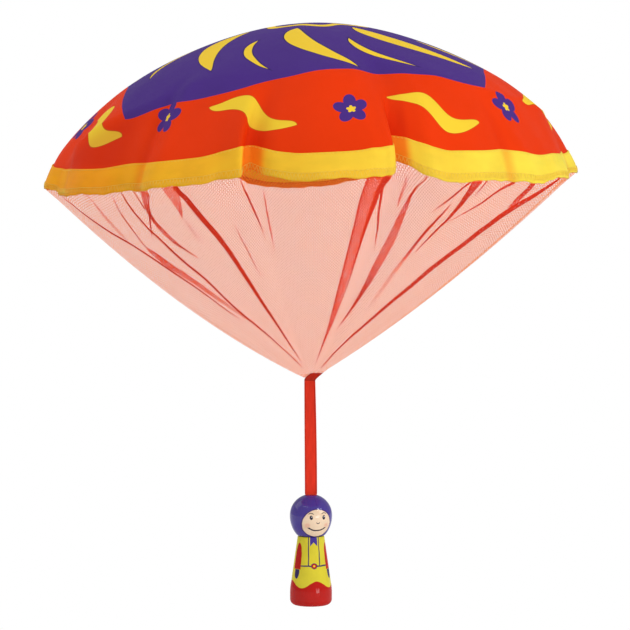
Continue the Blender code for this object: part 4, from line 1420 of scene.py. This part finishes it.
    def gathered(self, point, step):
        """A point of the last row, carried on to the flattened, slanting seam behind the ribbon's end."""
        angle = math.atan2(point.y, point.x)
        c, s = math.cos(angle), math.sin(angle)
        seam = Vector((self.SEAM_X + self.SEAM_HALF * c, self.SEAM_THIN * s, self.SEAM_Z + self.SEAM_SLANT * c))
        gathered = point.lerp(seam, step)
        gathered.y = point.y + (seam.y - point.y) * step**self.SEAM_PULL
        return gathered


class PARACHUTE_OT_ribbon(bpy.types.Operator):
    """Add the ribbon: its folded end on the net, its free length and stitches, and finish its tail in the head's slot
    and the stop pin
    """

    bl_idname = "parachute.ribbon"
    bl_label = "Ribbon"

    TOP, BOTTOM = -0.337086, -0.443586
    TOP_GAP, END_GAP = 0.0003, 0.0008
    SWAY, SHIFT = 0.0006, -0.0011
    # One hand stitch across the ribbon, as places aside and forward, and the row that the stitches make
    STITCH = ((0.0, -0.0047), (0.0005, -0.0051), (0.0010, -0.0047))
    STITCH_LEVEL, STITCH_START, STITCH_PITCH, STITCH_THREAD = -0.33065, 0.0006, 0.0018, 0.00013

    def execute(self, context):
        scene = context.scene
        self.sizes = scene.parachute_ribbon
        shade = scene.parachute_colours.ribbon
        strip = self.strip(ribbon_finish("ribbon_weave", shade))
        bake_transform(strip)  # fmt: skip
        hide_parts("ribbon_upper", "ribbon_lower")
        # The folded end is a darker copy of the ribbon's colour: painted shade under the net's tip.
        end = self.end(ribbon_finish("ribbon_doubled", tuple(channel * 0.60 for channel in shade)))
        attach(end, "net_tip")
        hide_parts("ribbon_end")
        stitches = self.stitches(thread_finish("ribbon_thread", (0.42, 0.02, 0.02)))
        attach(stitches, "net_tip")
        tail = bpy.data.objects["ribbon_tail"]
        tail.material_slots[0].material = plain_ribbon(scene.parachute_colours)
        bpy.data.objects["stop_pin"].material_slots[0].material = pin_finish(scene.parachute_colours)
        return {"FINISHED"}

    def section(self, centre, yaw):
        """The ribbon's cross-section, flat with round selvedges, as a loop of points and how far across each lies."""
        across = Vector((math.cos(yaw), math.sin(yaw), 0.0))
        forward = Vector((math.sin(yaw), -math.cos(yaw), 0.0))
        half, thick = self.sizes.width / 2.0, self.sizes.thickness / 2.0
        outline = [(t, 1.0) for t in (-0.97, -0.75, -0.4, 0.0, 0.4, 0.75, 0.97)]
        outline += [(1.0, 0.0)] + [(t, -1.0) for t, _ in reversed(outline)] + [(-1.0, 0.0)]
        ring = [centre + across * (half * t) + forward * (thick * s) for t, s in outline]
        return ring, [half * t for t, _ in outline]

    def strip(self, finish):
        rows, flat, steps = [], [], 72
        for k in range(steps + 1):
            share = k / steps
            level = self.TOP + self.TOP_GAP + (self.BOTTOM - self.TOP - self.END_GAP) * share
            yaw = -self.sizes.twist * (1.0 - share) ** 1.3
            sway = self.SWAY * math.sin(math.pi * share) * math.sin(5.0 * share)
            shift = self.SHIFT * (1.0 - share) ** 1.5
            ring, places = self.section(Vector((shift, sway, level)), yaw)
            rows.append(ring)
            flat += [(place, self.TOP - level) for place in places]
        return self.finished("ribbon_strip", rows, flat, finish)

    def end(self, finish):
        """The sewn end: up from the bend, then aslant to the right over the net's tip, leaning forward."""
        stations = (
            (-0.0011, 0.0, -0.3375, -27.0), (-0.0011, -0.0002, -0.3370, -26.0), (-0.0009, -0.0006, -0.3364, -24.0),
            (-0.0005, -0.0013, -0.3356, -20.0), (0.0003, -0.0022, -0.3346, -15.0), (0.0017, -0.0031, -0.3332, -9.0),
            (0.0035, -0.0040, -0.3316, -4.0), (0.0051, -0.0045, -0.3302, 0.0), (0.0055, -0.0046, -0.3298, 0.0),
        )  # fmt: skip
        rows, flat = [], []
        for x, y, z, yaw_deg in stations:
            ring, places = self.section(Vector((x, y, z)), math.radians(yaw_deg))
            rows.append(ring)
            flat += [(place, z - self.TOP) for place in places]
        return self.finished("ribbon_fold", rows, flat, finish)

    def finished(self, name, rows, flat, finish):
        verts, faces = lattice(rows)
        count = len(rows[0])
        faces = [tuple(reversed(face)) for face in faces]
        faces.append(tuple(range(count)))
        faces.append(tuple(reversed(range(len(verts) - count, len(verts)))))
        piece = new_piece(name, verts, faces, [finish], 50.0)
        set_uv(piece, "ribbon_flat", flat)
        return piece

    def stitches(self, thread):
        """A row of hand stitches through the folded end."""
        verts, faces = [], []
        for index in range(6):
            x = self.STITCH_START + self.STITCH_PITCH * index
            points = [Vector((x + shift, y, self.STITCH_LEVEL)) for shift, y in self.STITCH]
            tube(verts, faces, points, self.STITCH_THREAD, 6)
        return new_piece("ribbon_stitches", verts, faces, [thread])


def arc_points(centre, level, radius, start_deg, end_deg, count):
    turns = [math.radians(start_deg + (end_deg - start_deg) * k / (count - 1)) for k in range(count)]
    return [(max(centre + radius * math.cos(t), 0.0), level + radius * math.sin(t)) for t in turns]


class PARACHUTE_OT_head(bpy.types.Operator):
    """Add the turned head with the ribbon's slot"""

    bl_idname = "parachute.head"
    bl_label = "Head"

    LEVEL, NECK_LEVEL, SOCKET_TOP, SOCKET_RADIUS = -0.464486, -0.480334, -0.467834, 0.0066
    COLLAR, LOWER_HALF, LOWER_REACH = 0.0033, 0.0246, 0.0183
    FOOT_RADIUS, FOOT_BEVEL, FOOT_RISE = 0.0123, 0.0008, 0.0003
    TOP_RISE, TOP_FLAT, TOP_INNER, TOP_DOME = 0.0190, 0.0058, 0.0030, 0.0001
    SLOT_GAP, SLOT_ROUND = 0.0010, 0.0007

    def execute(self, context):
        scene = context.scene
        sizes = scene.parachute_figure
        foot = self.NECK_LEVEL - self.COLLAR
        outline = [(0.0, self.SOCKET_TOP), (self.SOCKET_RADIUS, self.SOCKET_TOP), (self.SOCKET_RADIUS, foot)]
        outline += [(self.FOOT_RADIUS - self.FOOT_BEVEL, foot), (self.FOOT_RADIUS, foot + self.FOOT_RISE)]
        for k in range(18, -1, -1):
            down = self.LOWER_REACH * k / 18
            outline.append((sizes.head_radius * math.sqrt(1.0 - (down / self.LOWER_HALF) ** 2), self.LEVEL - down))
        outline += arc_points(0.0, self.LEVEL, sizes.head_radius, 0.0, 71.0, 18)[1:]
        top = self.LEVEL + self.TOP_RISE
        outline += [(self.TOP_FLAT, top), (self.TOP_INNER, top + self.TOP_DOME), (0.0, top + self.TOP_DOME)]
        paint = head_paint(scene.parachute_colours, sizes.facing, self.LEVEL)
        head = turn_on_lathe("peg_head", outline, paint)
        self.cut_slot(head, scene.parachute_ribbon)
        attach(head, "figure")
        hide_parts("head")
        return {"FINISHED"}

    def cut_slot(self, head, ribbon):
        """Cuts the slot with a round-ended block, as a cutter on a mill would leave it."""
        deselect()
        top, bottom = self.LEVEL + 0.023, self.SOCKET_TOP - 0.001
        bpy.ops.mesh.primitive_cube_add(size=1.0, location=(0.0, 0.0, (top + bottom) / 2.0))
        cutter = bpy.context.object
        cutter.scale = (ribbon.width + self.SLOT_GAP, ribbon.thickness + self.SLOT_GAP, top - bottom)
        bpy.ops.object.transform_apply(location=False, rotation=False, scale=True)
        bpy.ops.object.mode_set(mode="EDIT")
        bpy.ops.mesh.select_all(action="DESELECT")
        shape = bmesh.from_edit_mesh(cutter.data)
        for edge in shape.edges:
            upright = abs(edge.verts[0].co.z - edge.verts[1].co.z) > 0.01
            edge.select_set(upright)
        bmesh.update_edit_mesh(cutter.data)
        bpy.ops.mesh.bevel(offset=self.SLOT_ROUND, segments=4, affect="EDGES")
        bpy.ops.object.mode_set(mode="OBJECT")
        bpy.ops.object.transform_apply(location=True, rotation=False, scale=False)
        deselect()
        head.select_set(True)
        bpy.context.view_layer.objects.active = head
        cut = head.modifiers.new("slot", "BOOLEAN")
        cut.operation, cut.object, cut.solver = "DIFFERENCE", cutter, "EXACT"
        bpy.ops.object.modifier_apply(modifier=cut.name)
        bpy.data.objects.remove(cutter, do_unlink=True)


class PARACHUTE_OT_body(bpy.types.Operator):
    """Add the turned and painted body"""

    bl_idname = "parachute.body"
    bl_label = "Body"

    TOP, BASE = -0.483934, -0.549034
    TENON_RADIUS, TENON_TOP, TENON_BEVEL = 0.0063, -0.475134, 0.0008
    COLLAR, NECK_ROUND, NECK_DROP = 0.00045, 0.0006, 0.0008
    FLARE_TOP, FLARE_HEIGHT, BULGE, CORNER = 0.0215, 0.010, 0.001, 0.0056
    PAINT_TURN = math.radians(8.0)

    def execute(self, context):
        scene = context.scene
        sizes = scene.parachute_figure
        wide, neck = sizes.body_radius, sizes.neck_radius + self.COLLAR
        outline = [(0.0, self.TENON_TOP), (self.TENON_RADIUS - self.TENON_BEVEL, self.TENON_TOP)]
        outline += [(self.TENON_RADIUS, self.TENON_TOP - self.TENON_BEVEL), (self.TENON_RADIUS, self.TOP)]
        outline += arc_points(neck - self.NECK_ROUND, self.TOP - self.NECK_ROUND, self.NECK_ROUND, 90.0, 10.0, 5)
        flare_top, start = self.BASE + self.FLARE_TOP, self.TOP - self.NECK_DROP
        for k in range(1, 17):
            t = k / 16
            outline.append((neck + (wide - self.BULGE - neck) * t, start + (flare_top - start) * t))
        for k in range(1, 7):
            t = k / 6
            outline.append((wide - self.BULGE * (1.0 - t) ** 2, flare_top - self.FLARE_HEIGHT * t))
        corner = self.CORNER
        outline += arc_points(wide - corner, self.BASE + corner, corner, 0.0, -90.0, 14)
        outline += [((wide - corner) * (1.0 - k / 4), self.BASE) for k in range(1, 5)]
        paint = body_paint(scene.parachute_colours, sizes.facing - self.PAINT_TURN, self.BASE)
        body = turn_on_lathe("peg_body", outline, paint)
        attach(body, "figure")
        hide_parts("figure_body")
        return {"FINISHED"}


class PARACHUTE_OT_stage(bpy.types.Operator):
    """Add the floor, the light and the camera"""

    bl_idname = "parachute.stage"
    bl_label = "Stage"

    LAMP_AIM, CAMERA_AIM = Vector((0.0, 0.0, -0.27)), Vector((0.0038, 0.0, -0.2755))
    # Each lamp's name, place and size
    LAMPS = (
        ("key", (1.9, -1.1, 0.55), 0.9),
        ("top", (-0.75, -0.8, 1.6), 1.1),
        ("front", (1.04, -1.0, 0.50), 0.3),
        ("side", (-1.6, 0.5, 1.0), 1.4),
        ("low", (1.45, -1.9, -0.75), 0.8),
    )

    def execute(self, context):
        settings = context.scene.parachute_stage
        self.floor(settings, context.scene.parachute_colours.floor)
        self.light(settings)
        self.camera(settings)
        view = context.scene.view_settings
        view.view_transform = "Standard"
        return {"FINISHED"}

    def floor(self, settings, shade):
        deselect()
        bpy.ops.mesh.primitive_plane_add(size=14.0, location=(0.0, 0.0, settings.floor_level))
        floor = bpy.context.object
        floor.name = floor.data.name = "floor"
        bpy.ops.object.mode_set(mode="EDIT")
        bpy.ops.mesh.select_all(action="SELECT")
        bpy.ops.mesh.subdivide(number_cuts=6)
        bpy.ops.object.mode_set(mode="OBJECT")
        bpy.ops.object.transform_apply(location=True, rotation=True, scale=True)
        finish = Finish("floor_paper", 0.9, Specular_IOR_Level=0.1)
        x, y, _ = finish.split(finish.place())
        away = distance(x, y).steps(0.35, 0.85)
        path = finish.node("ShaderNodeLightPath")
        seen = path.out("Is Camera Ray").either(path.out("Is Glossy Ray")).either(path.out("Is Transmission Ray"))
        fibre = finish.noise(finish.place(), 40.0, 3.0)
        finish.feed(Base_Color=finish.tinted(shade, fibre, 0.99, 1.01))
        white = finish.node("ShaderNodeEmission", values={"Color": (1.0, 1.0, 1.0), "Strength": 1.0})
        blend = finish.node("ShaderNodeMixShader", values={0: away * seen})
        surface = Wire(finish, finish.shader.outputs["BSDF"])
        finish.plug(blend.socket.node.inputs[1], surface)
        finish.plug(blend.socket.node.inputs[2], white)
        output = finish.nodes["Material Output"]
        finish.plug(output.inputs["Surface"], blend)
        floor.data.materials.append(finish.material)

    def light(self, settings):
        world = bpy.data.worlds.new("studio")
        bpy.context.scene.world = world
        world.use_nodes = True
        nodes, links = world.node_tree.nodes, world.node_tree.links
        path = nodes.new("ShaderNodeLightPath")
        seen = nodes.new("ShaderNodeMath")
        seen.operation = "MAXIMUM"
        links.new(path.outputs["Is Camera Ray"], seen.inputs[0])
        links.new(path.outputs["Is Transmission Ray"], seen.inputs[1])
        strength = nodes.new("ShaderNodeMapRange")
        strength.inputs["To Min"].default_value = settings.sky_light
        strength.inputs["To Max"].default_value = 1.0
        links.new(seen.outputs[0], strength.inputs["Value"])
        background = nodes["Background"]
        background.inputs["Color"].default_value = (1.0, 1.0, 1.0, 1.0)
        links.new(strength.outputs[0], background.inputs["Strength"])
        for name, place, size in self.LAMPS:
            self.lamp(f"{name}_lamp", place, size, getattr(settings, f"{name}_power"))

    def lamp(self, name, place, size, power):
        lamp = bpy.data.lights.new(name, "AREA")
        lamp.shape, lamp.size, lamp.energy = "SQUARE", size, power
        holder = bpy.data.objects.new(name, lamp)
        holder.location = place
        aim = self.LAMP_AIM - Vector(place)
        holder.rotation_euler = aim.to_track_quat("-Z", "Y").to_euler()
        bpy.context.scene.collection.objects.link(holder)

    def camera(self, settings):
        data = bpy.data.cameras.new("camera")
        data.lens, data.sensor_width, data.sensor_height = settings.lens, 36.0, 36.0
        data.clip_start, data.clip_end = 0.05, 60.0
        camera = bpy.data.objects.new("camera", data)
        camera.location = (0.0, -settings.camera_distance, settings.camera_level)
        aim = self.CAMERA_AIM - camera.location
        camera.rotation_euler = aim.to_track_quat("-Z", "Y").to_euler()
        bpy.context.scene.collection.objects.link(camera)
        bpy.context.scene.camera = camera


PIECES = (
    PARACHUTE_OT_stage,
    PARACHUTE_OT_canopy,
    PARACHUTE_OT_hem,
    PARACHUTE_OT_net,
    PARACHUTE_OT_ribbon,
    PARACHUTE_OT_head,
    PARACHUTE_OT_body,
)


class PARACHUTE_PT_pieces(bpy.types.Panel):
    """Lists the pieces and their sizes"""

    bl_idname = "PARACHUTE_PT_pieces"
    bl_label = "Toy parachute"
    bl_space_type = "VIEW_3D"
    bl_region_type = "UI"
    bl_category = "Parachute"

    def draw(self, context):
        for piece in PIECES:
            self.layout.operator(piece.bl_idname)
        for name, group in GROUPS.items():
            box = self.layout.box()
            for setting in group.__annotations__:
                box.prop(getattr(context.scene, name), setting)


CLASSES = (*GROUPS.values(), *PIECES, PARACHUTE_PT_pieces)


def register():
    for added in CLASSES:
        bpy.utils.register_class(added)
    for name, group in GROUPS.items():
        setattr(bpy.types.Scene, name, PointerProperty(type=group))


def unregister():
    for name in GROUPS:
        delattr(bpy.types.Scene, name)
    for added in reversed(CLASSES):
        bpy.utils.unregister_class(added)


def main():
    register()
    for piece in PIECES:
        family, name = piece.bl_idname.split(".")
        getattr(getattr(bpy.ops, family), name)()


if __name__ == "__main__":
    main()
